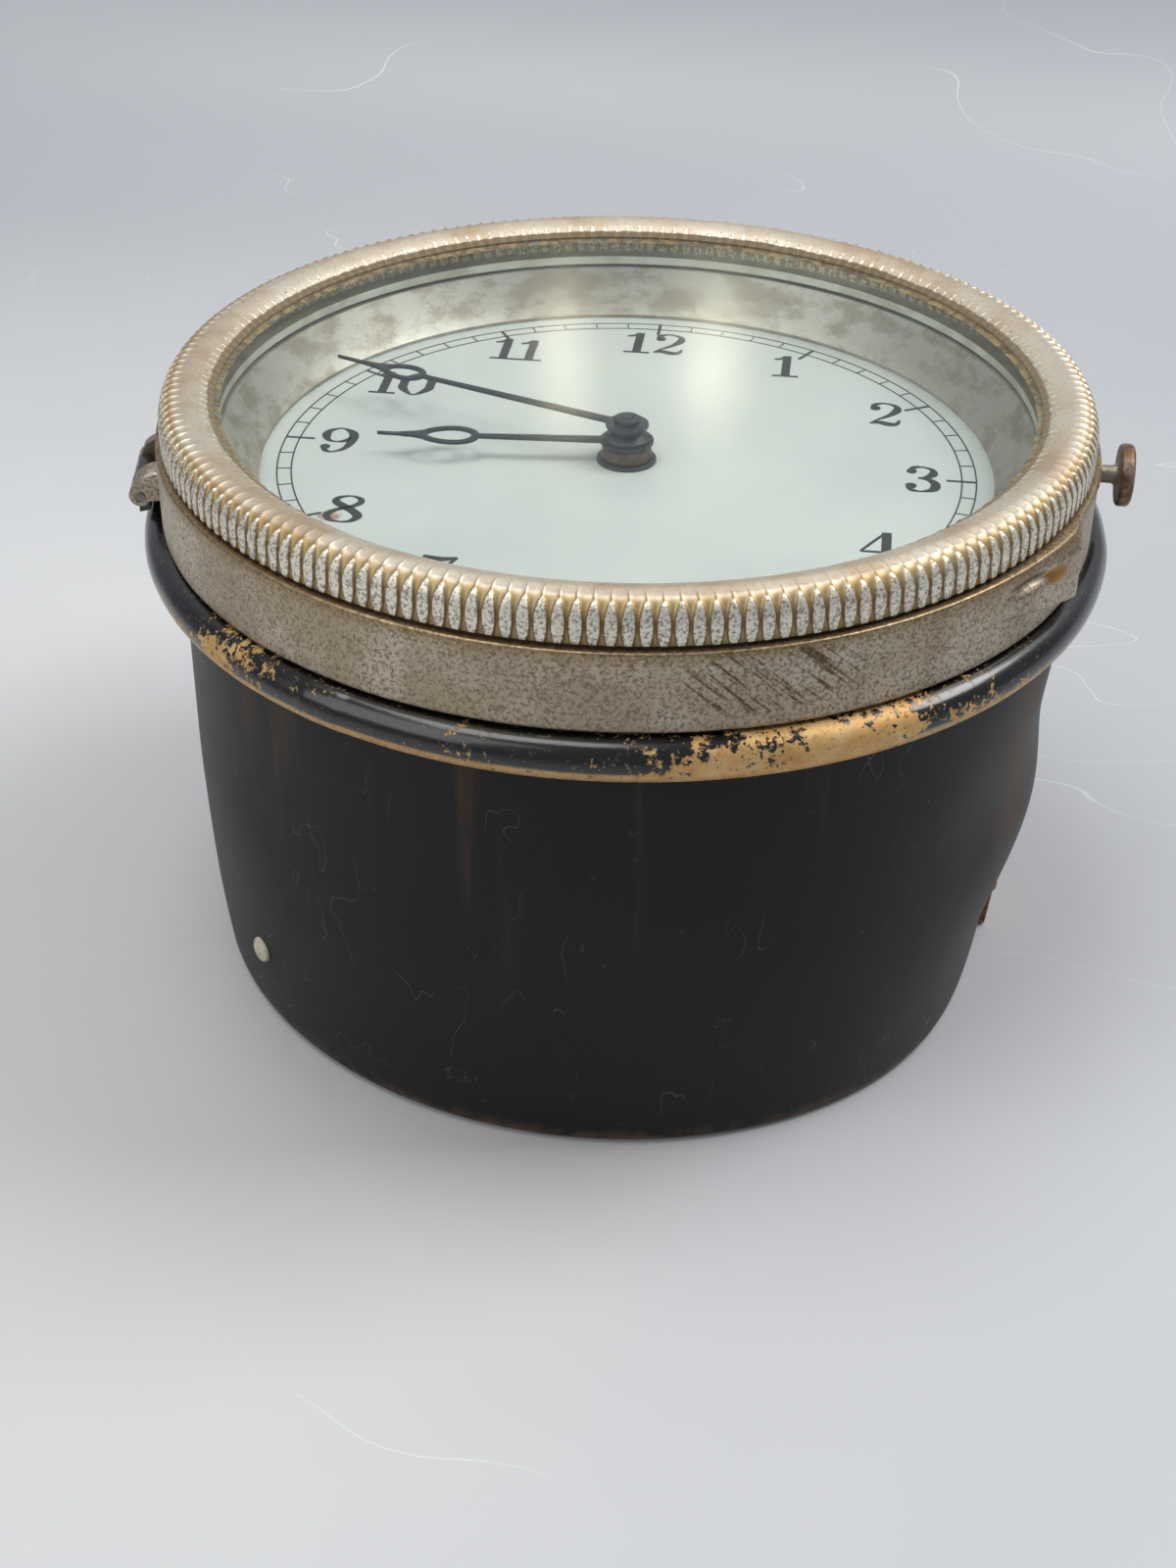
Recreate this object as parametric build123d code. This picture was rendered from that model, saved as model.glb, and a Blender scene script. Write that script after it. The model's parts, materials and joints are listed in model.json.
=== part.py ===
from build123d import *
import os
from math import acos, atan2, cos, degrees, radians, sin, sqrt

# Small rim-wound dashboard clock in a black mounting can. Millimetres.
# The origin is the centre of the can's back face, +Z is the clock's axis towards
# the glass, +Y points to 12 o'clock and +X to 3 o'clock.

# Mounting can
can_r = 41.0
can_wall = 0.8
can_base_r = 39.7
can_corner = 1.2
can_draw_z = 23.0
can_top_z = 42.6
back_hole_r = 2.0
back_hole_circle_r = 28.0
back_hole_count = 3
bead_tube_r = 1.95
bead_wall = 0.6
rivet_r = 1.25
rivet_height = 0.5
side_rivet_angle = 221.5
side_rivet_z = 8.4
lug_angle = 2.0
lug_width = 8.0
lug_height = 6.2
lug_thick = 0.8
seam_angle = -118.0
seam_dot_r = 0.55

# Hinge between can and clock
hinge_angle = 190.0
hinge_length = 9.0
hinge_knuckle_r = 1.2
hinge_pin_r = 0.55
hinge_gap = 0.3
hinge_rise = 0.8

# Clearances
part_gap = 0.3
running_gap = 0.05
swing_gap = 0.4

# Case of the clock
band_step = 0.24
band_wall = 0.85
band_height = 7.15
band_flange = 0.6
lip_angle = -27.0
lip_half_span = 12.0
lip_reach = 1.55
lip_height = 3.0
mouth_clearance = 1.01
holder_wall = 0.6
holder_flange_in_r = 31.0
holder_flange = 1.0

# Bezel, glass and winding ring
bezel_step = 0.5
bezel_height = 3.9
bezel_over_glass = 1.3
bezel_crest_in = 1.7
bezel_lip = 0.3
bezel_spigot = 1.3
glass_in = 3.6
glass_thick = 1.6
glass_drop = 1.6
glass_ring_thick = 0.8
winding_wall = 0.6

# Dial and hands
dial_r = 34.5
dial_thick = 0.4
dial_top_z = 48.0
dial_hole_r = 1.8
dial_view_r = 33.5
surround_wall = 0.5
surround_in = 0.5
hand_thick = 0.35
hour_hand_z = 49.8
minute_hand_z = 51.4
hour_hand_angle = 184.8
minute_hand_angle = 159.5
hour_hand_length = 22.9
minute_hand_length = 31.2
hour_ring_at = 16.3
hour_ring_half = 2.7
hour_ring_width = 1.85
minute_ring_at = 23.8
minute_ring_half = 2.2
minute_ring_width = 1.6
hand_ring_metal = 0.45

# Movement
plate_r = 33.0
plate_thick = 1.5
front_plate_z = 41.0
back_plate_z = 26.0
pillar_r = 1.75
pillar_circle_r = 28.0
pillar_angles = (40, 140, 220, 320)
screw_r = 0.6
screw_head_r = 1.1
screw_head = 0.6
cover_r = 34.0
cover_wall = 0.7
cover_floor_z = 22.0
cover_flange_r = 37.4
arbor_r = 0.5
wheel_thick = 0.8
barrel_at_y = 17.5
barrel_r = 13.0
barrel_wall = 0.8
barrel_over_plate = 1.5
barrel_height = 8.5
barrel_arbor_r = 1.5

# Set pin
set_pin_r = 0.8
set_knob_r = 2.8
set_knob_thick = 1.3
set_knob_out = 1.8

# Levels and places that follow from the sizes above
bead_r = can_r - can_wall / 2 + bead_tube_r * 0.8
bead_z = can_top_z + bead_wall * 0.67
mouth_r = bead_r - bead_tube_r
band_r = bead_r + band_step
holder_r = mouth_r - mouth_clearance
bezel_r = band_r - bezel_step
glass_r = bezel_r - glass_in
bezel_opening_r = glass_r - bezel_over_glass
surround_top_r = bezel_opening_r - surround_in
set_knob_x = band_r + set_knob_out
band_z = bead_z + bead_tube_r + part_gap
band_top_z = band_z + band_height
hinge_r = band_r + hinge_knuckle_r + part_gap + 0.05
hinge_z = bead_z + bead_tube_r + hinge_knuckle_r + hinge_rise
bezel_z = band_top_z + part_gap
bezel_top_z = bezel_z + bezel_height
glass_top_z = bezel_top_z - glass_drop
glass_z = glass_top_z - glass_thick
glass_ring_z = glass_z - glass_ring_thick
bezel_seat_r = glass_r + 0.1
winding_out_r = holder_r - holder_wall - swing_gap
plate_top_z = front_plate_z + plate_thick
winding_z = plate_top_z + 0.5
winding_thick = 1.6
motion_z = winding_z + winding_thick + part_gap
set_pin_z = band_z + 4.5
train_low_z = back_plate_z + plate_thick
barrel_z = train_low_z + barrel_over_plate

centred = (Align.CENTER, Align.CENTER, Align.MIN)
parts = {}


def disc(radius, z0, z1, at=(0, 0)):
    return Pos(at[0], at[1], z0) * Cylinder(radius, z1 - z0, align=centred)


def ring(outer, inner, z0, z1, at=(0, 0)):
    return disc(outer, z0, z1, at) - disc(inner, z0 - 1, z1 + 1, at)


def turned(*edges):
    return revolve(Plane.XZ * Face(Wire(edges)), axis=Axis.Z)


def turned_polygon(*points):
    return revolve(Plane.XZ * make_face(Polyline(*points, close=True)), axis=Axis.Z)


def polar(radius, angle):
    return radius * cos(radians(angle)), radius * sin(radians(angle))


def group(solids):
    return Compound(children=[Solid(s.solids()[0].wrapped) for s in solids])


def screw(at, seat_z, tip_z, shaft_r=screw_r, head_r=screw_head_r):
    # A cheese-head screw; the head lies on the far side of the seat from the tip.
    up = 1 if seat_z > tip_z else -1
    head_z = seat_z + up * screw_head
    head = disc(head_r, min(seat_z, head_z), max(seat_z, head_z), at)
    shaft = disc(shaft_r, min(seat_z, tip_z), max(seat_z, tip_z), at)
    slot = Pos(at[0], at[1], head_z) * Box(head_r * 3, 0.35, 0.5)
    return head + shaft - slot


# Gears. A tooth is a trapezoid; its widths are shares of the tooth pitch.
wheel_tooth = (0.50, 0.20)
pinion_tooth = (0.40, 0.14)


def gear_face(teeth, module, phase, shares, outward=0.75, inward=1.1):
    pitch_r = teeth * module / 2
    step = 360 / teeth
    root_share, tip_share = shares
    points = []
    for tooth in range(teeth):
        middle = phase + tooth * step
        for radius, share in (
            (pitch_r - inward * module, -root_share),
            (pitch_r + outward * module, -tip_share),
            (pitch_r + outward * module, tip_share),
            (pitch_r - inward * module, root_share),
        ):
            points.append(polar(radius, middle + share * step / 2))
    return make_face(Polyline(*points, close=True))


def gear(teeth, module, z0, z1, at=(0, 0), phase=0.0, shares=wheel_tooth):
    return Pos(at[0], at[1], z0) * extrude(gear_face(teeth, module, phase, shares), z1 - z0)


def bearing(start, end):
    return degrees(atan2(end[1] - start[1], end[0] - start[0]))


def meshed_phase(phase, teeth, at, next_teeth, next_at):
    # Turns the next gear so that its gap faces a tooth of the first one.
    line = bearing(at, next_at)
    ahead = (phase - line) % (360 / teeth)
    return line + 180 + 180 / next_teeth - ahead * teeth / next_teeth


def reach(start, distance, toward):
    return start[0] + distance * cos(radians(toward)), start[1] + distance * sin(radians(toward))


# Train: teeth and modules, great wheel first
great_teeth, great_module = 80, 0.375
mid_leaves, mid_teeth, mid_module = 10, 60, 0.35
centre_leaves, centre_teeth, centre_module = 20, 64, 0.3
third_leaves, third_teeth, third_module = 8, 60, 0.25
fourth_leaves, fourth_teeth, fourth_module = 8, 64, 0.22
escape_leaves, escape_teeth, escape_r = 8, 15, 4.2
winding_teeth, winding_leaves, ratchet_teeth, winding_module = 120, 20, 40, 0.6
cannon_teeth, minute_teeth, minute_module = 12, 36, 0.3
minute_leaves, hour_teeth, hour_module = 10, 40, 0.288

barrel_at = (0.0, barrel_at_y)
centre_at = (0.0, 0.0)
great_reach = (great_teeth + mid_leaves) * great_module / 2
mid_reach = (mid_teeth + centre_leaves) * mid_module / 2
mid_bend = degrees(acos((barrel_at_y ** 2 + mid_reach ** 2 - great_reach ** 2) / (2 * barrel_at_y * mid_reach)))
mid_at = polar(mid_reach, 90 - mid_bend)
third_at = polar((centre_teeth + third_leaves) * centre_module / 2, 225)
fourth_at = reach(third_at, (third_teeth + fourth_leaves) * third_module / 2, -25)
escape_at = reach(fourth_at, (fourth_teeth + escape_leaves) * fourth_module / 2, -10)
lever_at = reach(escape_at, escape_r * 1.45, -95)
balance_at = reach(lever_at, 6.2, -105)
minute_at = polar((cannon_teeth + minute_teeth) * minute_module / 2, -60)
winding_reach = (winding_teeth - winding_leaves) * winding_module / 2
ratchet_reach = (winding_leaves + ratchet_teeth) * winding_module / 2
winding_bend = degrees(acos(
    (winding_reach ** 2 + barrel_at_y ** 2 - ratchet_reach ** 2) / (2 * winding_reach * barrel_at_y)))
winding_at = polar(winding_reach, 90 - winding_bend)

mid_phase = meshed_phase(0, great_teeth, barrel_at, mid_leaves, mid_at)
centre_phase = meshed_phase(mid_phase, mid_teeth, mid_at, centre_leaves, centre_at)
third_phase = meshed_phase(0, centre_teeth, centre_at, third_leaves, third_at)
fourth_phase = meshed_phase(0, third_teeth, third_at, fourth_leaves, fourth_at)
escape_phase = meshed_phase(0, fourth_teeth, fourth_at, escape_leaves, escape_at)
winding_line = bearing(centre_at, winding_at)
ring_gap_ahead = (180 / winding_teeth - winding_line) % (360 / winding_teeth)
winding_phase = winding_line + ring_gap_ahead * winding_teeth / winding_leaves
ratchet_phase = meshed_phase(winding_phase, winding_leaves, winding_at, ratchet_teeth, barrel_at)
minute_phase = meshed_phase(0, cannon_teeth, centre_at, minute_teeth, minute_at)
hour_phase = meshed_phase(0, minute_leaves, minute_at, hour_teeth, centre_at)


# Mounting can: straight side, drawn in to the base, curled rim
draw_rise = can_draw_z - can_corner
draw_in = can_r - can_base_r
draw_arc_r = (draw_in ** 2 + draw_rise ** 2) / (2 * draw_in)


def can_side_r(z, inset=0.0):
    drop = max(can_draw_z - z, 0)
    return can_r - draw_arc_r + sqrt((draw_arc_r - inset) ** 2 - drop ** 2)


def can_outside():
    mid_z = (can_draw_z + can_corner) / 2
    corner_x = can_base_r - can_corner
    corner_knee = can_corner * (1 - sqrt(0.5))
    return turned(
        Line((0, 0), (corner_x, 0)),
        ThreePointArc((corner_x, 0), (can_base_r - corner_knee, corner_knee), (can_base_r, can_corner)),
        ThreePointArc((can_base_r, can_corner), (can_side_r(mid_z), mid_z), (can_r, can_draw_z)),
        Line((can_r, can_draw_z), (can_r, can_top_z)),
        Line((can_r, can_top_z), (0, can_top_z)),
        Line((0, can_top_z), (0, 0)))


def can_hollow():
    mid_z = (can_draw_z + can_corner) / 2
    inner_r = can_r - can_wall
    low = (can_side_r(can_corner, can_wall), can_corner)
    floor_r = low[0] - (can_corner - can_wall)
    return turned(
        Line((0, can_wall), (floor_r, can_wall)),
        Line((floor_r, can_wall), low),
        ThreePointArc(low, (can_side_r(mid_z, can_wall), mid_z), (inner_r, can_draw_z)),
        Line((inner_r, can_draw_z), (inner_r, can_top_z + 1)),
        Line((inner_r, can_top_z + 1), (0, can_top_z + 1)),
        Line((0, can_top_z + 1), (0, can_wall)))


def bead_tube(radius):
    return Pos(0, 0, bead_z) * Torus(bead_r, radius)


def mounting_can():
    holes = [
        disc(back_hole_r, -1, can_wall + 1, polar(back_hole_circle_r, 90 + i * 360 / back_hole_count))
        for i in range(back_hole_count)
    ]
    shanks = [rivet_shank(side_rivet_angle, side_rivet_z), rivet_shank(lug_angle, lug_height / 2)]
    return can_outside() - can_hollow() - holes - shanks


def rim_bead():
    # A hollow curl that closes over the can's edge.
    curl = bead_tube(bead_tube_r) - bead_tube(bead_tube_r - bead_wall)
    return curl - ring(can_r, can_r - can_wall, 0, can_top_z)


def on_side(angle, radius, z, solid):
    return Rot(0, 0, angle) * Pos(radius, 0, z) * Rot(0, 90, 0) * solid


def rivet_shank(angle, z):
    length = can_wall + lug_thick + 0.6
    low_r = can_side_r(z) - can_wall - 0.3
    return on_side(angle, low_r, z, Cylinder(rivet_r * 0.6, length, align=centred))


def rivet(angle, z, seat_r, backing):
    head = on_side(angle, seat_r - 0.3, z, Cylinder(rivet_r, rivet_height + 0.3, align=centred))
    shank = rivet_shank(angle, z) & on_side(angle, 0, z, Cylinder(rivet_r, seat_r + 0.1, align=centred))
    return head - backing + shank


def can_rivets():
    core = can_outside()
    side = rivet(side_rivet_angle, side_rivet_z, can_side_r(side_rivet_z), core)
    lug = rivet(lug_angle, lug_height / 2, lug_r, core + lug_plate())
    dot_r = bead_r + bead_tube_r * 0.75
    dot = Rot(0, 0, seam_angle) * Pos(dot_r, 0, bead_z + bead_tube_r * 0.55) * Sphere(seam_dot_r)
    return group([side, lug, dot - bead_tube(bead_tube_r)])


lug_r = can_side_r(lug_height / 2) + lug_thick


def lug_plate():
    plate = Pos(lug_r - 1.5, 0, 0) * Box(3.0, lug_width, lug_height, align=centred)
    return (Rot(0, 0, lug_angle) * plate & disc(lug_r, 0, lug_height)) - can_outside()


def fixing_lug():
    return lug_plate() - rivet_shank(lug_angle, lug_height / 2)


# Hinge: built on +X and turned to its place round the can
def on_hinge(solid):
    return Rot(0, 0, hinge_angle) * solid


def knuckle(low_y, high_y, bore_r):
    barrel = Cylinder(hinge_knuckle_r, high_y - low_y) - Cylinder(bore_r, high_y - low_y + 1)
    return Pos(hinge_r, (low_y + high_y) / 2, hinge_z) * Rot(90, 0, 0) * barrel


middle_half = hinge_length / 4


def can_hinge_knuckle():
    foot_low = bead_z
    foot = Pos(hinge_r + 0.1, 0, foot_low) * Box(1.4, 2 * middle_half, hinge_z - foot_low, align=centred)
    foot = foot - Pos(hinge_r, 0, hinge_z) * Rot(90, 0, 0) * Cylinder(hinge_pin_r + running_gap, hinge_length)
    foot -= bead_tube(bead_tube_r)
    return on_hinge(knuckle(-middle_half, middle_half, hinge_pin_r + running_gap) + foot)


def band_hinge_leaf():
    leaf = []
    for side in (-1, 1):
        inner = middle_half + hinge_gap / 2
        outer = hinge_length / 2
        middle = side * (inner + outer) / 2
        arm_z = hinge_z + hinge_knuckle_r * 0.2
        arm = Pos(band_r - 1, middle, arm_z) * Box(
            hinge_r - band_r + 1.9, outer - inner, 1.0, align=(Align.MIN, Align.CENTER, Align.MIN))
        low, high = sorted((side * inner, side * outer))
        leaf.append(knuckle(low, high, hinge_pin_r) + arm)
    plate = ring(band_r + 0.9, band_r, hinge_z + hinge_knuckle_r, band_top_z - 0.8)
    plate &= Pos(band_r, 0, hinge_z) * Box(6, hinge_length, 20, align=centred)
    leaf = leaf[0] + leaf[1] + plate
    shaft = Pos(hinge_r, 0, hinge_z) * Rot(90, 0, 0) * Cylinder(hinge_pin_r, hinge_length + 1)
    return on_hinge(leaf - disc(band_r, 0, 100) - shaft)


def hinge_pin():
    return on_hinge(Pos(hinge_r, 0, hinge_z) * Rot(90, 0, 0) * Cylinder(hinge_pin_r, hinge_length - 0.4))


# Case of the clock
def set_pin_hole(radius):
    return Pos(band_r - 3, 0, set_pin_z) * Rot(0, 90, 0) * Cylinder(radius, 6, align=centred)


bush_r = set_pin_r + running_gap + 0.6


def case_band():
    wall = ring(band_r, band_r - band_wall, band_z, band_top_z) - set_pin_hole(bush_r)
    return wall + ring(band_r - band_wall, holder_r - holder_wall, band_z, band_z + band_flange)


def thumb_lip():
    chord = band_r * sin(radians(lip_half_span))
    sag = band_r + lip_reach - band_r * cos(radians(lip_half_span))
    round_r = (chord ** 2 + sag ** 2) / (2 * sag)
    centre = band_r + lip_reach - round_r
    blank = extrude(Pos(centre, 0) * Circle(round_r), lip_height, taper=24)
    scoop = Pos(band_r + lip_reach + 1.2, 0, 0.6) * Sphere(1.9)
    lip = Rot(0, 0, lip_angle) * Pos(0, 0, band_z) * (blank - scoop)
    return lip - disc(band_r, 0, 100)


def movement_ring():
    wall = ring(holder_r, holder_r - holder_wall, front_plate_z - holder_flange, band_z)
    shelf = ring(holder_r, holder_flange_in_r, front_plate_z - holder_flange, front_plate_z)
    holes = [disc(screw_r, 0, 100, at) for at in plate_screw_places() + cover_screw_places()]
    return wall + shelf - holes


def dial_surround():
    low_z = dial_top_z
    top_z = glass_ring_z - part_gap
    return turned_polygon(
        (dial_view_r, low_z), (dial_r, low_z), (dial_r, low_z + 0.6),
        (surround_top_r + surround_wall, top_z), (surround_top_r, top_z),
        (dial_view_r, low_z + 0.5))


def dial():
    return ring(dial_r, dial_hole_r, dial_top_z - dial_thick, dial_top_z)


foot_places = [polar(27.0, angle) for angle in (20, 150, 270)]


def dial_feet():
    return group(disc(0.9, plate_top_z, dial_top_z - dial_thick, at) for at in foot_places)


def dial_washer():
    return ring(2.75, dial_hole_r, dial_top_z, dial_top_z + 0.3)


def set_pin_bush():
    tube = Pos(band_r - band_wall - 0.25, 0, set_pin_z) * Rot(0, 90, 0) * Cylinder(
        bush_r, band_wall + 0.5, align=centred)
    return tube - set_pin_hole(set_pin_r + running_gap)


def set_pin_stem():
    inner_x = winding_out_r + part_gap + 0.2
    stem = Pos(inner_x, 0, set_pin_z) * Rot(0, 90, 0) * Cylinder(
        set_pin_r, set_knob_x - inner_x, align=centred)
    head = Pos(inner_x, 0, set_pin_z) * Rot(0, 90, 0) * Cylinder(set_pin_r + 0.45, 0.6, align=centred)
    return stem + head


def set_pin_knob():
    knob = Pos(set_knob_x, 0, set_pin_z) * Rot(0, 90, 0) * Cylinder(set_knob_r, set_knob_thick, align=centred)
    return fillet(knob.edges().filter_by(GeomType.CIRCLE), set_knob_thick * 0.3)


# Bezel group: turns in the band and winds the spring
def bezel():
    low_z = bezel_z - bezel_spigot
    crest = (bezel_r - bezel_crest_in, bezel_top_z)
    shoulder = (bezel_r, bezel_z + bezel_height * 0.42)
    bulge = ((crest[0] + bezel_r * 2) / 3 + 0.05, bezel_z + bezel_height * 0.8)
    lip_top = (bezel_opening_r, glass_top_z + bezel_lip)
    spigot_r = band_r - band_wall - swing_gap
    return turned(
        Line((bezel_seat_r, low_z), (spigot_r, low_z)),
        Line((spigot_r, low_z), (spigot_r, bezel_z)),
        Line((spigot_r, bezel_z), (bezel_r, bezel_z)),
        Line((bezel_r, bezel_z), shoulder),
        ThreePointArc(shoulder, bulge, crest),
        Line(crest, lip_top),
        Line(lip_top, (bezel_opening_r, glass_top_z)),
        Line((bezel_opening_r, glass_top_z), (bezel_seat_r, glass_top_z)),
        Line((bezel_seat_r, glass_top_z), (bezel_seat_r, low_z)))


def glass():
    return disc(glass_r, glass_z, glass_top_z)


def glass_ring():
    return ring(bezel_seat_r, bezel_opening_r - 0.2, glass_ring_z, glass_z)


def winding_ring():
    skirt = ring(winding_out_r, winding_out_r - winding_wall, winding_z, glass_ring_z)
    rim = disc(winding_out_r, winding_z, winding_z + winding_thick)
    gap_shares = (0.76, 0.48)
    gaps = gear_face(winding_teeth, winding_module, 180 / winding_teeth, gap_shares, 1.1, 0.75)
    return skirt + (rim - Pos(0, 0, winding_z - 1) * extrude(gaps, winding_thick + 2))


# Plates, pillars and cover
def plate_screw_places():
    return [polar((plate_r + holder_flange_in_r) / 2, angle) for angle in (100, 210, 330)]


def cover_screw_places():
    return [polar((cover_r + cover_flange_r) / 2 + 0.1, angle) for angle in (30, 150, 270)]


pillar_places = [polar(pillar_circle_r, angle) for angle in pillar_angles]
pivots = [mid_at, centre_at, third_at, fourth_at, escape_at, lever_at, balance_at]
barrel_bore_r = barrel_arbor_r + running_gap
stud_r = 0.9
stud_places = [winding_at, minute_at]


def plate_holes():
    holes = [disc(arbor_r + running_gap, 0, 100, at) for at in pivots]
    holes += [disc(screw_r, 0, 100, at) for at in pillar_places]
    return holes + [disc(barrel_bore_r, 0, 100, barrel_at)]


def front_plate():
    studs = [disc(stud_r, 0, 100, at) for at in stud_places]
    click_hole = [disc(stud_r, 0, 100, click_at)]
    screws = [disc(screw_r, 0, 100, at) for at in plate_screw_places()]
    return disc(plate_r, front_plate_z, plate_top_z) - plate_holes() - studs - click_hole - screws


def back_plate():
    return disc(plate_r - 0.6, back_plate_z, train_low_z) - plate_holes()


def plate_screws():
    tip_z = front_plate_z - holder_flange
    return group(screw(at, plate_top_z, tip_z, head_r=0.95) for at in plate_screw_places())


def pillars():
    holes = [disc(screw_r, 0, 100, at) for at in pillar_places]
    return group(
        disc(pillar_r, train_low_z, front_plate_z, at) - hole for at, hole in zip(pillar_places, holes))


def pillar_screws():
    top = [screw(at, plate_top_z, front_plate_z - 3) for at in pillar_places]
    bottom = [screw(at, back_plate_z, train_low_z + 3) for at in pillar_places]
    return group(top + bottom)


def dust_cover():
    top_z = front_plate_z - holder_flange
    wall = ring(cover_r, cover_r - cover_wall, cover_floor_z, top_z)
    floor = disc(cover_r, cover_floor_z, cover_floor_z + cover_wall)
    flange = ring(cover_flange_r, cover_r - cover_wall, top_z - cover_wall, top_z)
    holes = [disc(screw_r, 0, 100, at) for at in cover_screw_places()]
    return wall + floor + flange - holes


def cover_screws():
    seat_z = front_plate_z - holder_flange - cover_wall
    return group(screw(at, seat_z, front_plate_z, head_r=1.0) for at in cover_screw_places())


def stud(at, top_z):
    # A post riveted in the front plate, with a shoulder under what turns on it.
    return disc(stud_r, front_plate_z, top_z, at) + disc(stud_r + 0.5, plate_top_z, plate_top_z + 0.2, at)


# Winding work
stud_top_z = winding_z + winding_thick + 0.2


def winding_stud():
    return stud(winding_at, stud_top_z)


def winding_pinion():
    teeth = gear(winding_leaves, winding_module, winding_z, winding_z + winding_thick, winding_at,
                 winding_phase, wheel_tooth)
    return teeth - disc(stud_r + running_gap, 0, 100, winding_at)


square_half = barrel_arbor_r * 0.7


def barrel_arbor():
    low = disc(barrel_arbor_r, back_plate_z, plate_top_z + 0.2, barrel_at)
    square = Pos(*barrel_at, plate_top_z + 0.2) * Box(
        2 * square_half, 2 * square_half, winding_thick + 0.4, align=centred)
    return low + square


def ratchet_wheel():
    wheel = gear(ratchet_teeth, winding_module, winding_z, winding_z + winding_thick, barrel_at, ratchet_phase)
    return wheel - Pos(*barrel_at, 0) * Box(2 * square_half, 2 * square_half, 200)


click_side = 215
click_at = reach(barrel_at, ratchet_teeth * winding_module / 2 + 3.4, click_side)
click_z = winding_z + 0.2


def ratchet_click():
    toward = bearing(click_at, barrel_at) - 62
    arm = Pos(*click_at, click_z) * Rot(0, 0, toward) * Pos(2.2, 0, 0) * Box(4.4, 1.1, 1.0, align=centred)
    arm += disc(1.6, click_z, click_z + 1.0, click_at)
    arm -= disc(ratchet_teeth * winding_module / 2 + winding_module + part_gap, 0, 100, barrel_at)
    return arm - disc(stud_r + running_gap, 0, 100, click_at)


def click_stud():
    return stud(click_at, click_z + 1.2)


# Barrel
def barrel_drum():
    top_z = barrel_z + barrel_height
    drum = disc(barrel_r, barrel_z, top_z, barrel_at)
    drum += gear(great_teeth, great_module, barrel_z, barrel_z + 1.5, barrel_at)
    drum -= disc(barrel_r - barrel_wall, barrel_z + 1.5, top_z + 1, barrel_at)
    return drum - disc(barrel_bore_r, 0, 100, barrel_at)


def barrel_lid():
    top_z = barrel_z + barrel_height
    return ring(barrel_r - barrel_wall, barrel_bore_r, top_z - 0.8, top_z, barrel_at)


def spiral(at, start_r, pitch, turns, strip, z0, z1, phase=0.0):
    # A flat spring: half turns whose centres alternate about the arbor.
    half = pitch / 4
    coil = None
    for index in range(2 * turns):
        shift = half if index % 2 else -half
        radius = start_r + pitch / 2 * index
        arc = ring(radius + strip / 2, radius - strip / 2, 0, z1 - z0)
        keep_y = 50 if index % 2 else -50
        arc &= Pos(0, keep_y, 0) * Box(200, 100, 100)
        arc = Pos(shift, 0, 0) * arc
        coil = arc if coil is None else coil + arc
    return Pos(at[0], at[1], z0) * Rot(0, 0, phase) * coil


def mainspring():
    low_z = barrel_z + 1.5 + 0.3
    return spiral(barrel_at, 3.4, 1.1, 7, 0.3, low_z, low_z + barrel_height - 3.0)


# Going train: each pinion is cut on its arbor, each wheel is pressed on
def pinion_arbor(at, leaves, module, z0, z1, phase, top_z=None):
    top_z = top_z or plate_top_z - 0.1
    shaft = disc(arbor_r, back_plate_z + 0.1, top_z, at)
    return shaft + gear(leaves, module, z0, z1, at, phase, pinion_tooth)


def train_wheel(at, teeth, module, z0, phase=0.0, thick=wheel_thick):
    wheel = gear(teeth, module, z0, z0 + thick, at, phase)
    return wheel - disc(arbor_r, 0, 100, at)


mid_wheel_z = barrel_z + barrel_height + 0.7
centre_wheel_z = barrel_z - 1.1
third_wheel_z = barrel_z + 6.5
fourth_wheel_z = barrel_z + 2.0
escape_wheel_z = barrel_z + 4.5
balance_z = escape_wheel_z + 2.1


def intermediate_pinion():
    return pinion_arbor(mid_at, mid_leaves, great_module, barrel_z - 0.3, barrel_z + 1.9, mid_phase)


def intermediate_wheel():
    return train_wheel(mid_at, mid_teeth, mid_module, mid_wheel_z, mid_phase)


def centre_pinion():
    return pinion_arbor(centre_at, centre_leaves, mid_module, mid_wheel_z - 0.2, mid_wheel_z + 1.2,
                        centre_phase, minute_hand_z + 0.2)


def centre_wheel():
    return train_wheel(centre_at, centre_teeth, centre_module, centre_wheel_z)


def third_pinion():
    return pinion_arbor(third_at, third_leaves, centre_module, centre_wheel_z - 0.15, centre_wheel_z + 1.2,
                        third_phase)


def third_wheel():
    return train_wheel(third_at, third_teeth, third_module, third_wheel_z)


def fourth_pinion():
    return pinion_arbor(fourth_at, fourth_leaves, third_module, third_wheel_z - 0.3, third_wheel_z + 1.1,
                        fourth_phase)


def fourth_wheel():
    return train_wheel(fourth_at, fourth_teeth, fourth_module, fourth_wheel_z)


def escape_pinion():
    return pinion_arbor(escape_at, escape_leaves, fourth_module, fourth_wheel_z - 0.3, fourth_wheel_z + 1.1,
                        escape_phase)


def escape_wheel():
    points = []
    for tooth in range(escape_teeth):
        angle = tooth * 360 / escape_teeth
        points += [polar(escape_r * 0.78, angle - 8), polar(escape_r, angle), polar(escape_r, angle + 1.5),
                   polar(escape_r * 0.78, angle + 5)]
    blank = extrude(make_face(Polyline(*points, close=True)), 0.6)
    return Pos(*escape_at, escape_wheel_z) * blank - disc(arbor_r, 0, 100, escape_at)


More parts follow.
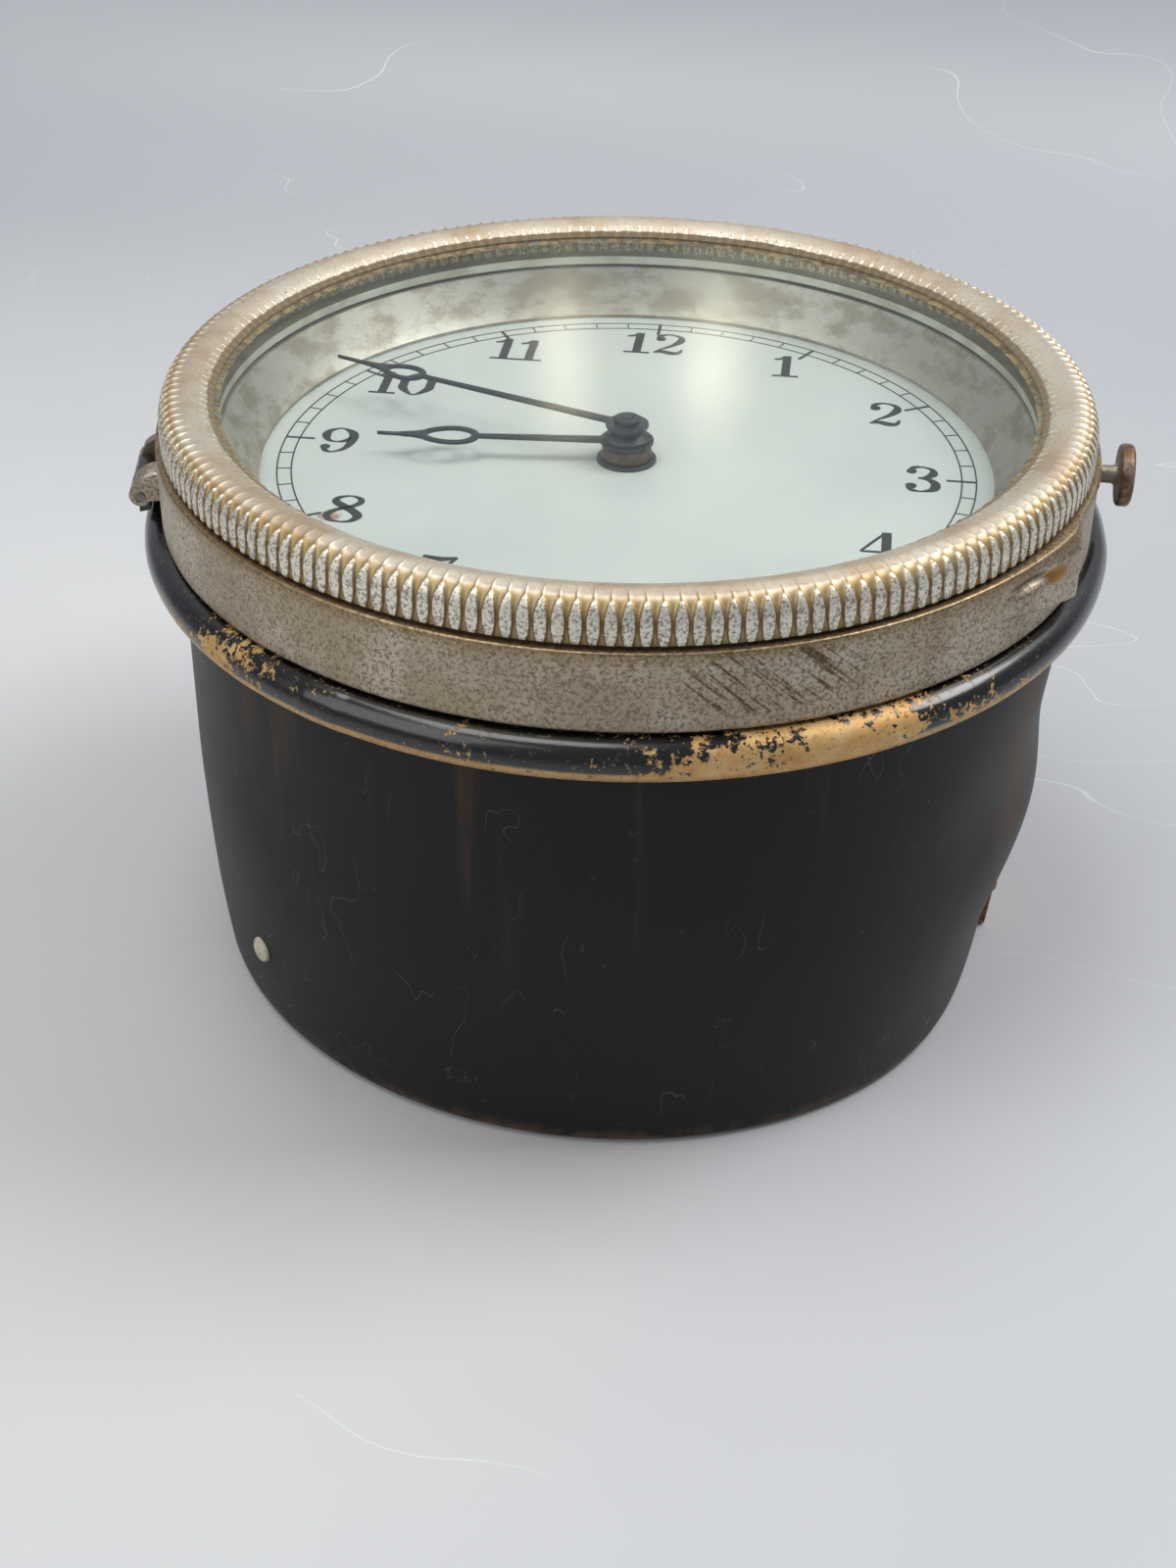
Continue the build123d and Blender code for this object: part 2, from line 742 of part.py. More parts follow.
def pallet_lever():
    away = bearing(lever_at, balance_at)
    to_wheel = bearing(lever_at, escape_at)
    hub = disc(1.1, escape_wheel_z, escape_wheel_z + 0.6, lever_at)
    fork = Rot(0, 0, away) * Pos(1.8, 0, 0) * Box(3.6, 0.7, 0.6, align=centred)
    arms = Rot(0, 0, to_wheel) * Pos(0.2, 0, 0) * Box(0.8, 6.4, 0.6, align=centred)
    stones = [Rot(0, 0, to_wheel) * Pos(1.0, side * 3.0, 0) * Box(1.6, 0.5, 0.6, align=centred) for side in (-1, 1)]
    lever = Pos(*lever_at, escape_wheel_z) * (fork + arms + stones[0] + stones[1])
    lever -= disc(escape_r + 0.25, 0, 100, escape_at)
    return hub + lever + disc(arbor_r, back_plate_z + 0.1, plate_top_z - 0.1, lever_at)


balance_r = 5.6


def balance_wheel():
    rim = ring(balance_r, balance_r - 0.9, balance_z, balance_z + 1.0, balance_at)
    arm = Pos(*balance_at, balance_z) * Box(2 * balance_r - 0.9, 0.9, 0.7, align=centred)
    hub = disc(1.3, balance_z, balance_z + 1.0, balance_at)
    return rim + arm + hub - disc(arbor_r, 0, 100, balance_at)


def balance_staff():
    roller = disc(1.5, escape_wheel_z + 0.9, escape_wheel_z + 1.3, balance_at)
    pin_at = reach(balance_at, 1.2, bearing(balance_at, lever_at))
    pin = disc(0.2, escape_wheel_z, escape_wheel_z + 0.9, pin_at)
    return disc(arbor_r, back_plate_z + 0.1, plate_top_z - 0.1, balance_at) + roller + pin


def hairspring():
    return spiral(balance_at, 1.0, 0.5, 5, 0.12, balance_z + 1.5, balance_z + 1.8)


# Motion work and hands
cannon_r = 0.9
hour_pipe_in_r = cannon_r + 0.08
hour_pipe_r = 1.45


def cannon_pinion():
    pipe = disc(cannon_r, motion_z, minute_hand_z)
    pipe += gear(cannon_teeth, minute_module, motion_z, motion_z + 0.8, centre_at, 0, pinion_tooth)
    return pipe - disc(arbor_r + running_gap, 0, 100)


def minute_wheel():
    wheel = gear(minute_teeth, minute_module, motion_z + 0.1, motion_z + 0.7, minute_at, minute_phase)
    return wheel - disc(stud_r + running_gap, 0, 100, minute_at)


def minute_wheel_pinion():
    low_z = motion_z + 0.7
    leaves = gear(minute_leaves, hour_module, low_z, low_z + 1.1, minute_at, 0, pinion_tooth)
    return leaves - disc(stud_thin_r + running_gap, 0, 100, minute_at)


stud_thin_r = 0.5


def minute_wheel_stud():
    thick = disc(stud_r, front_plate_z, motion_z + 0.7, minute_at)
    shoulder = disc(stud_r + 0.5, plate_top_z, motion_z - 0.1, minute_at)
    return thick + shoulder + disc(stud_thin_r, motion_z + 0.7, motion_z + 1.9, minute_at)


def hour_wheel():
    low_z = motion_z + 1.1
    wheel = gear(hour_teeth, hour_module, low_z, low_z + 0.6, centre_at, hour_phase)
    return wheel + disc(hour_pipe_r, low_z, hour_hand_z) - disc(hour_pipe_in_r, 0, 100)


def hand(length, ring_at, ring_half, ring_width, hub_r, hole_r, z, angle):
    # A tapering stem, an open ring and a fine tip, with a round hub.
    near = ring_at - ring_half
    far = ring_at + ring_half
    stem = make_face(Polyline((0, -0.55), (near + 0.4, -0.3), (near + 0.4, 0.3), (0, 0.55), close=True))
    tip = make_face(Polyline((far - 0.4, -0.42), (length, -0.08), (length, 0.08), (far - 0.4, 0.42), close=True))
    eye = Pos(ring_at, 0) * Ellipse(ring_half, ring_width)
    hole = Pos(ring_at, 0) * Ellipse(ring_half - hand_ring_metal, ring_width - hand_ring_metal)
    shape = Circle(hub_r) + stem + tip + eye - hole - Circle(hole_r)
    return Pos(0, 0, z) * Rot(0, 0, angle) * extrude(shape, hand_thick)


def hour_hand():
    return hand(hour_hand_length, hour_ring_at, hour_ring_half, hour_ring_width, 2.5, hour_pipe_in_r,
                hour_hand_z, hour_hand_angle)


def minute_hand():
    return hand(minute_hand_length, minute_ring_at, minute_ring_half, minute_ring_width, 2.2,
                arbor_r + running_gap, minute_hand_z, minute_hand_angle)


def minute_collet():
    low_z = minute_hand_z + hand_thick
    return ring(1.2, arbor_r + running_gap, low_z, low_z + 0.5)


makers = [
    mounting_can, rim_bead, can_rivets, fixing_lug, can_hinge_knuckle,
    case_band, thumb_lip, band_hinge_leaf, hinge_pin, movement_ring, dial_surround, dial, dial_feet,
    dial_washer, front_plate, plate_screws, back_plate, pillars, pillar_screws, dust_cover, cover_screws,
    set_pin_bush, winding_stud, click_stud, minute_wheel_stud,
    bezel, glass, glass_ring, winding_ring, set_pin_stem, set_pin_knob,
    winding_pinion, barrel_arbor, ratchet_wheel, ratchet_click,
    barrel_drum, barrel_lid, mainspring, intermediate_pinion, intermediate_wheel, centre_pinion,
    centre_wheel, third_pinion, third_wheel, fourth_pinion, fourth_wheel, escape_pinion, escape_wheel,
    pallet_lever, balance_wheel, balance_staff, hairspring,
    cannon_pinion, minute_wheel, minute_wheel_pinion, hour_wheel, hour_hand, minute_hand, minute_collet,
]

os.makedirs("parts", exist_ok=True)
for maker in makers:
    export_step(maker(), f"parts/{maker.__name__}.step")

for name, place in (
    ("barrel", barrel_at), ("intermediate", mid_at), ("third", third_at), ("fourth", fourth_at),
    ("escape", escape_at), ("lever", lever_at), ("balance", balance_at), ("minute wheel", minute_at),
    ("winding pinion", winding_at), ("click", click_at),
):
    print(f"{name} axis at {place[0]:.4f} {place[1]:.4f}")
print(f"hinge r {hinge_r:.3f} z {hinge_z:.3f}, bead r {bead_r:.3f} z {bead_z:.3f}, mouth r {mouth_r:.3f}")
print(f"band {band_z:.3f} to {band_top_z:.3f}, bezel top {bezel_top_z:.3f}, glass {glass_z:.3f} to {glass_top_z:.3f}")
print(f"set pin z {set_pin_z:.3f}, winding z {winding_z:.3f}, motion z {motion_z:.3f}")
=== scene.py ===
import bmesh
import bpy
import json
import math
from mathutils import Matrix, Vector, noise


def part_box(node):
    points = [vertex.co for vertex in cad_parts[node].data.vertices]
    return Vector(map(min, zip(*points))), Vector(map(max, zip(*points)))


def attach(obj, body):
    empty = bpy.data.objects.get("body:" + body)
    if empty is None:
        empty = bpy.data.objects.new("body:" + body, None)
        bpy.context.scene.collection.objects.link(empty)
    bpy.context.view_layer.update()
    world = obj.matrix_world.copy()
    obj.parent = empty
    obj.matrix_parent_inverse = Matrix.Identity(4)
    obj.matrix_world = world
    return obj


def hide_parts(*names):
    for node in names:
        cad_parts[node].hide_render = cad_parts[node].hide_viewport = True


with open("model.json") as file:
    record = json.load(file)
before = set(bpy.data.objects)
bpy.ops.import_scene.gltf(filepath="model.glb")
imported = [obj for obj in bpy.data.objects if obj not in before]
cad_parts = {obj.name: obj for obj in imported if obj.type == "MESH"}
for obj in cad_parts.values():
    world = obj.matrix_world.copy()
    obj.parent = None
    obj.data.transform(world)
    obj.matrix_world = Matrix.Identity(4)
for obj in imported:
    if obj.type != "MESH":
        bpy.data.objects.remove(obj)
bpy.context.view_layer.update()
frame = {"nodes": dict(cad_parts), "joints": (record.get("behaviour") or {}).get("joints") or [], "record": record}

mm = 0.001
fullTurn = 2 * math.pi


def lowHigh(node):                       # a CAD node's corners, in millimetres
    low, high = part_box(node)
    return low / mm, high / mm


# ---- the camera
shot = {
    "azimuth": 6.71,
    "elevation": 34.08,
    "roll": 0.87,
    "distance": 206.2,
    "lens": 51.75,
    "target": (-1.0, -17.8, 23.8),
}


def makeCamera():
    turn, tilt = math.radians(shot["azimuth"]), math.radians(shot["elevation"])
    back = Vector((math.sin(turn) * math.cos(tilt), -math.cos(turn) * math.cos(tilt), math.sin(tilt)))
    data = bpy.data.cameras.new("camera")
    data.lens = shot["lens"]
    data.sensor_width = 36
    data.clip_start = 0.01
    camera = bpy.data.objects.new("camera", data)
    camera.location = (Vector(shot["target"]) + back * shot["distance"]) * mm
    aim = back.to_track_quat("Z", "Y").to_matrix().to_4x4()
    camera.rotation_euler = aim.to_euler()
    camera.rotation_euler.rotate_axis("Z", math.radians(shot["roll"]))
    bpy.context.collection.objects.link(camera)
    bpy.context.scene.camera = camera
    bpy.context.scene.view_settings.view_transform = "Standard"


makeCamera()
print("camera ready")


# ---- shader maths
class Flow:                              # a socket that takes part in arithmetic
    def __init__(self, paint, socket):
        self.paint = paint
        self.socket = socket

    def maths(self, operation, *others):
        return self.paint.node("ShaderNodeMath", {"operation": operation}, dict(enumerate((self, *others))))

    def flipped(self, operation, other):
        return self.paint.node("ShaderNodeMath", {"operation": operation}, {0: other, 1: self})

    def __add__(self, other):
        return self.maths("ADD", other)

    def __sub__(self, other):
        return self.maths("SUBTRACT", other)

    def __mul__(self, other):
        return self.maths("MULTIPLY", other)

    def __truediv__(self, other):
        return self.maths("DIVIDE", other)

    def __pow__(self, other):
        return self.maths("POWER", other)

    def __rsub__(self, other):
        return self.flipped("SUBTRACT", other)

    def __rtruediv__(self, other):
        return self.flipped("DIVIDE", other)

    __radd__ = __add__
    __rmul__ = __mul__

    def fade(self, low, high):           # 0 below low, 1 above high, smooth between
        return self.paint.node(
            "ShaderNodeMapRange", {"interpolation_type": "SMOOTHSTEP"},
            {0: self, 1: low, 2: high, 3: 0.0, 4: 1.0})

    def hump(self, middle, half):        # 1 at the middle, 0 at half away and beyond
        return 1 - (self - middle).maths("ABSOLUTE").fade(0.0, half)


class Paint:
    def __init__(self, name):
        self.material = bpy.data.materials.new(name)
        self.material.use_nodes = True
        self.tree = self.material.node_tree
        self.tree.nodes.clear()
        place = self.node("ShaderNodeTexCoord", out="Object")
        self.place = self.node("ShaderNodeVectorMath", {"operation": "SCALE"}, {0: place, "Scale": 1 / mm})
        self.x, self.y, self.z = (
            self.node("ShaderNodeSeparateXYZ", None, {0: self.place}, out=axis) for axis in range(3))
        self.angle = self.y.maths("ARCTAN2", self.x)
        self.radius = (self.x * self.x + self.y * self.y) ** 0.5

    def node(self, kind, settings=None, sockets=None, out=0):
        made = self.tree.nodes.new(kind)
        for key, value in (settings or {}).items():
            if key == "stops":
                self.setStops(made.color_ramp, value)
            else:
                setattr(made, key, value)
        for key, value in (sockets or {}).items():
            if isinstance(value, Flow):
                self.tree.links.new(value.socket, made.inputs[key])
            else:
                made.inputs[key].default_value = value
        return Flow(self, made.outputs[out])

    def setStops(self, ramp, stops):
        while len(ramp.elements) < len(stops):
            ramp.elements.new(0.5)
        for element, (position, colour) in zip(ramp.elements, stops):
            element.position = position
            element.color = (*colour, 1)

    def wrapped(self, size):             # coordinates laid flat round the axis
        return self.node("ShaderNodeCombineXYZ", None, {0: self.angle * size, 1: self.z, 2: self.radius})

    def scaled(self, place, stretch):
        return self.node("ShaderNodeVectorMath", {"operation": "MULTIPLY"}, {0: place, 1: stretch})

    def noise(self, scale, detail=4.0, rough=0.55, place=None, stretch=None, seed=0.0):
        place = place or self.place
        place = self.scaled(place, stretch) if stretch else place
        return self.node("ShaderNodeTexNoise", {"noise_dimensions": "4D"},
                         {"Vector": place, "W": seed, "Scale": scale, "Detail": detail, "Roughness": rough})

    def cells(self, scale, place=None, seed=0.0):
        return self.node("ShaderNodeTexVoronoi", {"voronoi_dimensions": "4D"},
                         {"Vector": place or self.place, "W": seed, "Scale": scale}, out="Distance")

    def mix(self, amount, first, second, way="MIX"):
        first, second = ((*c, 1) if isinstance(c, tuple) else c for c in (first, second))
        return self.node("ShaderNodeMix", {"data_type": "RGBA", "blend_type": way},
                         {0: amount, 6: first, 7: second}, out=2)

    def bump(self, height, depth, strength=1.0):
        return self.node("ShaderNodeBump", None,
                         {"Height": height, "Distance": depth * mm, "Strength": strength})

    def finish(self, colour, roughness, metallic=0.0, normal=None, coat=0.0, fixed=None):
        colour = (*colour, 1) if isinstance(colour, tuple) else colour
        sockets = {"Base Color": colour, "Roughness": roughness, "Metallic": metallic, "Coat Weight": coat}
        if normal:
            sockets["Normal"] = normal
        shader = self.node("ShaderNodeBsdfPrincipled", None, {**sockets, **(fixed or {})})
        return self.output(shader)

    def output(self, shader):
        end = self.tree.nodes.new("ShaderNodeOutputMaterial")
        self.tree.links.new(shader.socket, end.inputs["Surface"])
        return self.material


# ---- mesh helpers, all in millimetres
def makeMesh(name, points, faces, material, body, slot, replaced=(), smooth=True):
    mesh = bpy.data.meshes.new(name)
    mesh.from_pydata([Vector(p) * mm for p in points], [], faces)
    mesh.validate()
    mesh.materials.append(material)
    mesh.polygons.foreach_set("use_smooth", [smooth] * len(mesh.polygons))
    piece = bpy.data.objects.new(name, mesh)
    bpy.context.collection.objects.link(piece)
    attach(piece, body)
    if replaced:
        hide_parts(*replaced)
    return piece


def softEdges(piece, degrees=35):        # keeps corners crisp under smooth shading
    piece.data.set_sharp_from_angle(angle=math.radians(degrees))
    return piece


def arc(centre, radius, start, end, steps):
    cx, cz = centre
    turns = [math.radians(start + (end - start) * i / steps) for i in range(steps + 1)]
    return [(cx + radius * math.cos(t), cz + radius * math.sin(t)) for t in turns]


def turned(name, outline, material, body, slot, replaced=(), steps=360, reshape=None):
    # An outline of (radius, height) points, closed by the axis or on itself.
    count = len(outline)
    points = []
    for i in range(steps):
        angle = fullTurn * i / steps
        for j, (radius, z) in enumerate(outline):
            radius, z = reshape(angle, radius, z, j) if reshape else (radius, z)
            points.append((radius * math.cos(angle), radius * math.sin(angle), z))
    faces = []
    for i in range(steps):
        here, there = i * count, (i + 1) % steps * count
        for j in range(count):
            k = (j + 1) % count
            if outline[j][0] == 0 and outline[k][0] == 0:
                continue
            faces.append((here + j, there + j, there + k, here + k))
    piece = makeMesh(name, points, faces, material, body, slot, replaced)
    weldAxis(piece)
    return softEdges(piece)


def weldAxis(piece):
    work = bmesh.new()
    work.from_mesh(piece.data)
    bmesh.ops.remove_doubles(work, verts=work.verts, dist=1e-8)
    bmesh.ops.recalc_face_normals(work, faces=work.faces)
    work.to_mesh(piece.data)
    work.free()


def smoothPath(points, steps=8, closed=False):
    # Catmull-Rom through (x, y, width) points.
    count = len(points)
    spans = count if closed else count - 1
    path = []
    for i in range(spans):
        if closed:
            a, b, c, d = (points[(i + k) % count] for k in (-1, 0, 1, 2))
        else:
            a, b, c, d = (points[min(max(i + k, 0), count - 1)] for k in (-1, 0, 1, 2))
        for s in range(steps):
            t = s / steps
            path.append(tuple(
                0.5 * (2 * q + (r - p) * t + (2 * p - 5 * q + 4 * r - u) * t * t
                       + (3 * q - p - 3 * r + u) * t ** 3)
                for p, q, r, u in zip(a, b, c, d)))
    if not closed:
        path.append(points[-1])
    return path


def ribbon(path, low, high, closed=False, crown=0.0):
    # A strip of varying width from low to high. Its crown raises the middle line.
    points, faces = [], []
    count = len(path)
    for i, (x, y, width) in enumerate(path):
        before = path[i - 1] if i or closed else path[0]
        after = path[(i + 1) % count] if i < count - 1 or closed else path[-1]
        along = Vector((after[0] - before[0], after[1] - before[1]))
        along = along.normalized() if along.length else Vector((1, 0))
        side = Vector((-along.y, along.x)) * width / 2
        left, right = (x + side.x, y + side.y), (x - side.x, y - side.y)
        points += [(*left, low), (*left, high), (x, y, high + crown), (*right, high), (*right, low)]
    spans = count if closed else count - 1
    for i in range(spans):
        here, there = i * 5, (i + 1) % count * 5
        for j in range(5):
            k = (j + 1) % 5
            faces.append((here + j, there + j, there + k, here + k))
    if not closed:
        faces.append(tuple(range(5)))
        last = (count - 1) * 5
        faces.append(tuple(reversed(range(last, last + 5))))
    return points, faces


def joined(lumps):
    points, faces = [], []
    for morePoints, moreFaces in lumps:
        base = len(points)
        points += morePoints
        faces += [tuple(base + v for v in face) for face in moreFaces]
    return points, faces


def dot(x, y, radius, low, high, steps=20):
    ring = [(x + radius * math.cos(fullTurn * i / steps), y + radius * math.sin(fullTurn * i / steps))
            for i in range(steps)]
    points = [(*p, low) for p in ring] + [(*p, high) for p in ring]
    faces = [tuple(reversed(range(steps))), tuple(range(steps, 2 * steps))]
    faces += [(i, (i + 1) % steps, steps + (i + 1) % steps, steps + i) for i in range(steps)]
    return points, faces


# ---- mounting can
can = {
    "cornerR": 1.2,
    "wall": 0.8,
    "drawTop": 23.0,
    "baseR": 39.7,
    "ripple": 0.10,
    "dent": {"angle": -11.0, "spread": 24.0, "top": 21.0, "bottom": 5.0, "depth": 2.6},
    "black": (0.006, 0.006, 0.0065),
    "worn": (0.105, 0.058, 0.028),
    "dust": (0.20, 0.19, 0.17),
}


def canPaint():
    paint = Paint("canEnamel")
    flat = paint.wrapped(41)
    cloud = paint.noise(0.10, 5, 0.6, flat)
    grain = paint.noise(2.6, 3, 0.6)
    streaks = paint.noise(0.16, 4, 0.55, flat, (1, 0.10, 1), 3.0)
    upper = paint.z.fade(8, 34)
    patches = streaks.fade(0.56, 0.76) * upper * (0.35 + grain * 0.9)
    rubbed = paint.angle.hump(math.radians(-22), math.radians(9)) * paint.z.fade(14, 24)
    patches = patches + rubbed * (0.25 + streaks * 0.9) * grain.fade(0.25, 0.6)
    foot = (1 - paint.z.fade(0.2, 2.2)) * paint.noise(0.5, 4, 0.6).fade(0.38, 0.60)
    scuffs = paint.noise(0.30, 6, 0.72, flat, (1, 0.8, 1), 9.0).fade(0.60, 0.70) * grain.fade(0.48, 0.62)
    hair = paint.noise(0.22, 2, 0.5, flat, (1, 0.55, 1), 21.0)
    hairlines = hair.hump(0.5, 0.0035) * paint.noise(0.09, 2, 0.5, flat, None, 5.0).fade(0.52, 0.62)
    specks = (1 - paint.cells(0.75, None, 2.0).fade(0.03, 0.09)) * cloud.fade(0.45, 0.60)
    colour = paint.mix(patches * 0.85, can["black"], can["worn"])
    colour = paint.mix(foot * 0.75, colour, (0.13, 0.070, 0.035))
    colour = paint.mix(scuffs * 0.30 + hairlines * 0.35 + specks * 0.55, colour, can["dust"])
    rough = 0.40 + cloud * 0.16 + patches * 0.12 - hairlines * 0.1
    height = grain * 0.5 + cloud * 0.6 - hairlines * 0.5 + specks * 0.3
    return paint.finish(colour, rough, 0.0, paint.bump(height, 0.05, 0.55), 0.06,
                        {"Coat Roughness": 0.30, "Specular IOR Level": 0.22})


def dentAt(angle, z):                    # how far the side is pushed in
    dent = can["dent"]
    off = (math.degrees(angle) - dent["angle"] + 180) % 360 - 180
    down = min(max((dent["top"] - z) / (dent["top"] - dent["bottom"]), 0), 1)
    waist = 0.7 * math.exp(-((z - 27) / 6.5) ** 2)
    return math.exp(-(off / dent["spread"]) ** 2) * (dent["depth"] * down * down * (3 - 2 * down) + waist)


def makeCan():
    high = lowHigh("mounting_can")[1]
    outR, topZ = high.x, high.z
    rise, inset = can["drawTop"] - can["cornerR"], outR - can["baseR"]
    sweepR = (rise ** 2 + inset ** 2) / (2 * inset)

    def sideR(z, wall=0.0):
        drop = max(can["drawTop"] - z, 0)
        return outR - sweepR + math.sqrt((sweepR - wall) ** 2 - drop ** 2)

    corner = arc((can["baseR"] - can["cornerR"], can["cornerR"]), can["cornerR"], -90, 0, 6)
    levels = [can["cornerR"] + (topZ - can["cornerR"]) * i / 60 for i in range(1, 61)]
    outside = corner + [(sideR(z), z) for z in levels]
    inside = [(sideR(z, can["wall"]), z) for z in reversed(levels)]
    outline = [(0, 0)] + outside + inside + [(can["baseR"] - 1.3, can["wall"]), (0, can["wall"])]

    def reshape(angle, radius, z, index):
        if radius < 30:
            return radius, z
        wave = noise.noise(Vector((math.cos(angle) * 3, math.sin(angle) * 3, z * 0.09)))
        quiet = min(max((z - 2) / 8, 0), 1) * min(max((40 - z) / 6, 0), 1)
        return radius - dentAt(angle, z) - can["ripple"] * (wave + 0.5) * quiet, z

    turned("canShell", outline, canPaint(), "can", "black_enamel", ["mounting_can"], 300, reshape)


# ---- rim bead
bead = {
    "sideSteps": 40,
    "edgeGap": 0.45,
    "edgeWall": 0.55,
    "seamAngle": -120.5,
    "black": (0.006, 0.006, 0.007),
    "chips": [(0.0, (0.42, 0.20, 0.07)), (0.4, (0.60, 0.34, 0.12)), (0.7, (0.70, 0.50, 0.24)),
              (1.0, (0.62, 0.22, 0.06))],
}


def beadPaint():
    paint = Paint("beadEnamel")
    flat = paint.wrapped(42)
    front = paint.angle.hump(math.radians(-60), math.radians(30))
    left = paint.angle.hump(math.radians(-132), math.radians(18))
    large = paint.noise(0.16, 4, 0.6, flat, (1, 1.4, 1), 4.0)
    ragged = paint.noise(0.75, 6, 0.72, flat, None, 8.0)
    fine = paint.noise(2.4, 4, 0.7, None, None, 2.0)
    low = 1 - paint.z.fade(42.4, 44.6)
    spread = front * 0.13 + left * 0.13 + paint.angle.hump(math.radians(-75), math.radians(80)) * 0.03
    field = ragged * 0.50 + large * 0.42 + fine * 0.32 + spread + low * 0.04
    chipped = field.fade(0.745, 0.765)
    edge = (1 - paint.z.fade(42.35, 42.75)) * (paint.radius.fade(41.9, 42.3)) * fine.fade(0.34, 0.46)
    nicks = paint.noise(3.0, 3, 0.7, flat, (0.5, 1.4, 1), 12.0).fade(0.62, 0.67) * (0.35 + spread * 4.0)
    bare = chipped.maths("MAXIMUM", edge * 0.9).maths("MAXIMUM", nicks * 0.7)
    drift = paint.noise(0.5, 4, 0.6, flat, None, 6.0)
    tones = paint.node("ShaderNodeValToRGB", {"stops": bead["chips"]}, {0: drift})
    tones = paint.mix(fine.fade(0.55, 0.70) * 0.6, tones, (0.10, 0.045, 0.02))
    colour = paint.mix(bare, bead["black"], tones)
    rough = 0.16 + ragged * 0.12 + bare * 0.34
    height = fine * 0.25 + ragged * 0.35 - bare * 1.0
    return paint.finish(colour, rough, bare * 0.55, paint.bump(height, 0.06, 0.7), (1 - bare) * 0.4,
                        {"Coat Roughness": 0.12})


def makeBead():
    low, high = lowHigh("rim_bead")
    tubeR = (high.z - low.z) / 2
    centre = (high.x - tubeR, (high.z + low.z) / 2)
    canR = lowHigh("mounting_can")[1].x
    start = math.degrees(math.acos((canR + bead["edgeGap"] - centre[0]) / tubeR))
    outer = arc(centre, tubeR, -start, 180 - 12, bead["sideSteps"])
    outer += [(canR - can["wall"], centre[1] - 0.4), (canR - 0.05, centre[1] - 0.4)]
    inner = arc(centre, tubeR - bead["edgeWall"], 150, -start, bead["sideSteps"] // 2)

    def reshape(angle, radius, z, index):
        sway = noise.noise(Vector((math.cos(angle) * 7, math.sin(angle) * 7, z * 0.3)))
        seam = (math.degrees(angle) - bead["seamAngle"] + 180) % 360 - 180
        lap = 0.10 if 0 < seam < 5.5 else 0.0
        return radius + 0.05 * sway + (lap if radius > canR else 0), z + 0.04 * sway + lap * 0.4

    turned("rimBead", outer + inner, beadPaint(), "can", "bead_black", ["rim_bead"], 540, reshape)


# ---- band of the clock
band = {
    "wall": 0.85,
    "flange": 0.6,
    "edge": 0.22,
    "nickel": (0.42, 0.345, 0.245),
    "light": (0.58, 0.505, 0.40),
    "stain": (0.125, 0.070, 0.028),
    "gold": (0.30, 0.19, 0.075),
    "tarnish": (0.36, 0.17, 0.03),
    "scratchSlant": 0.75,
}


def bandPaint():
    paint = Paint("bandNickel")
    flat = paint.wrapped(42)
    cloud = paint.noise(0.13, 4, 0.6, flat, None, 2.0)
    speck = paint.noise(3.2, 4, 0.75)
    pits = (1 - paint.cells(1.15, None, 3.0).fade(0.05, 0.20)) * cloud.fade(0.35, 0.65)
    runs = paint.noise(0.20, 4, 0.6, flat, (1, 0.13, 1), 7.0).fade(0.55, 0.72)
    top = paint.z.fade(50.9, 52.3)
    slanted = paint.node("ShaderNodeVectorRotate", {"rotation_type": "Z_AXIS"},
                         {"Vector": flat, "Angle": band["scratchSlant"]})
    lines = paint.noise(0.9, 3, 0.6, slanted, (0.12, 2.6, 1), 11.0)
    window = paint.angle.hump(math.radians(-68), math.radians(15)) * paint.z.hump(49.5, 4.2)
    scratch = lines.fade(0.52, 0.60) * window.fade(0.12, 0.40) * speck.fade(0.30, 0.5)
    leftFade = paint.angle.hump(math.radians(-118), math.radians(10)) * runs
    stain = (runs * 0.40 + leftFade * 0.3) * speck.fade(0.32, 0.62) + pits * 0.55 + scratch * 0.95
    colour = paint.mix(cloud.fade(0.35, 0.65), band["nickel"], band["light"])
    colour = paint.mix(top * (0.45 + cloud * 0.5) * speck.fade(0.25, 0.5), colour, band["gold"])
    peppered = speck.fade(0.46, 0.60) * (0.45 + cloud * 0.6)
    colour = paint.mix(peppered, colour, (0.13, 0.095, 0.060))
    colour = paint.mix(stain, colour, band["stain"])
    shade = paint.angle.hump(math.radians(-34.0), math.radians(5.0)) * paint.z.hump(51.1, 0.8)
    colour = paint.mix(shade.fade(0.1, 0.7) * 0.8, colour, (0.10, 0.07, 0.045))
    tarnish = paint.angle.hump(math.radians(-28.5), math.radians(3.2)) * paint.z.hump(50.3, 1.2)
    colour = paint.mix(tarnish.fade(0.1, 0.6) * 0.9, colour, band["tarnish"])
    rough = 0.36 + cloud * 0.14 + stain * 0.22
    height = speck * 0.5 - pits * 0.9 - scratch * 0.3
    return paint.finish(colour, rough, 0.92 - stain * 0.45, paint.bump(height, 0.03, 0.5))


lip = {
    "apex": -23.5,
    "rise": 21.0,
    "fall": 4.5,
    "reach": 1.25,
    "dip": {"angle": -33.0, "halfAngle": 3.6, "z": 50.7, "halfHeight": 0.5, "depth": 0.8},
    "cut": 46.2,
    "cutSlope": 0.16,
}


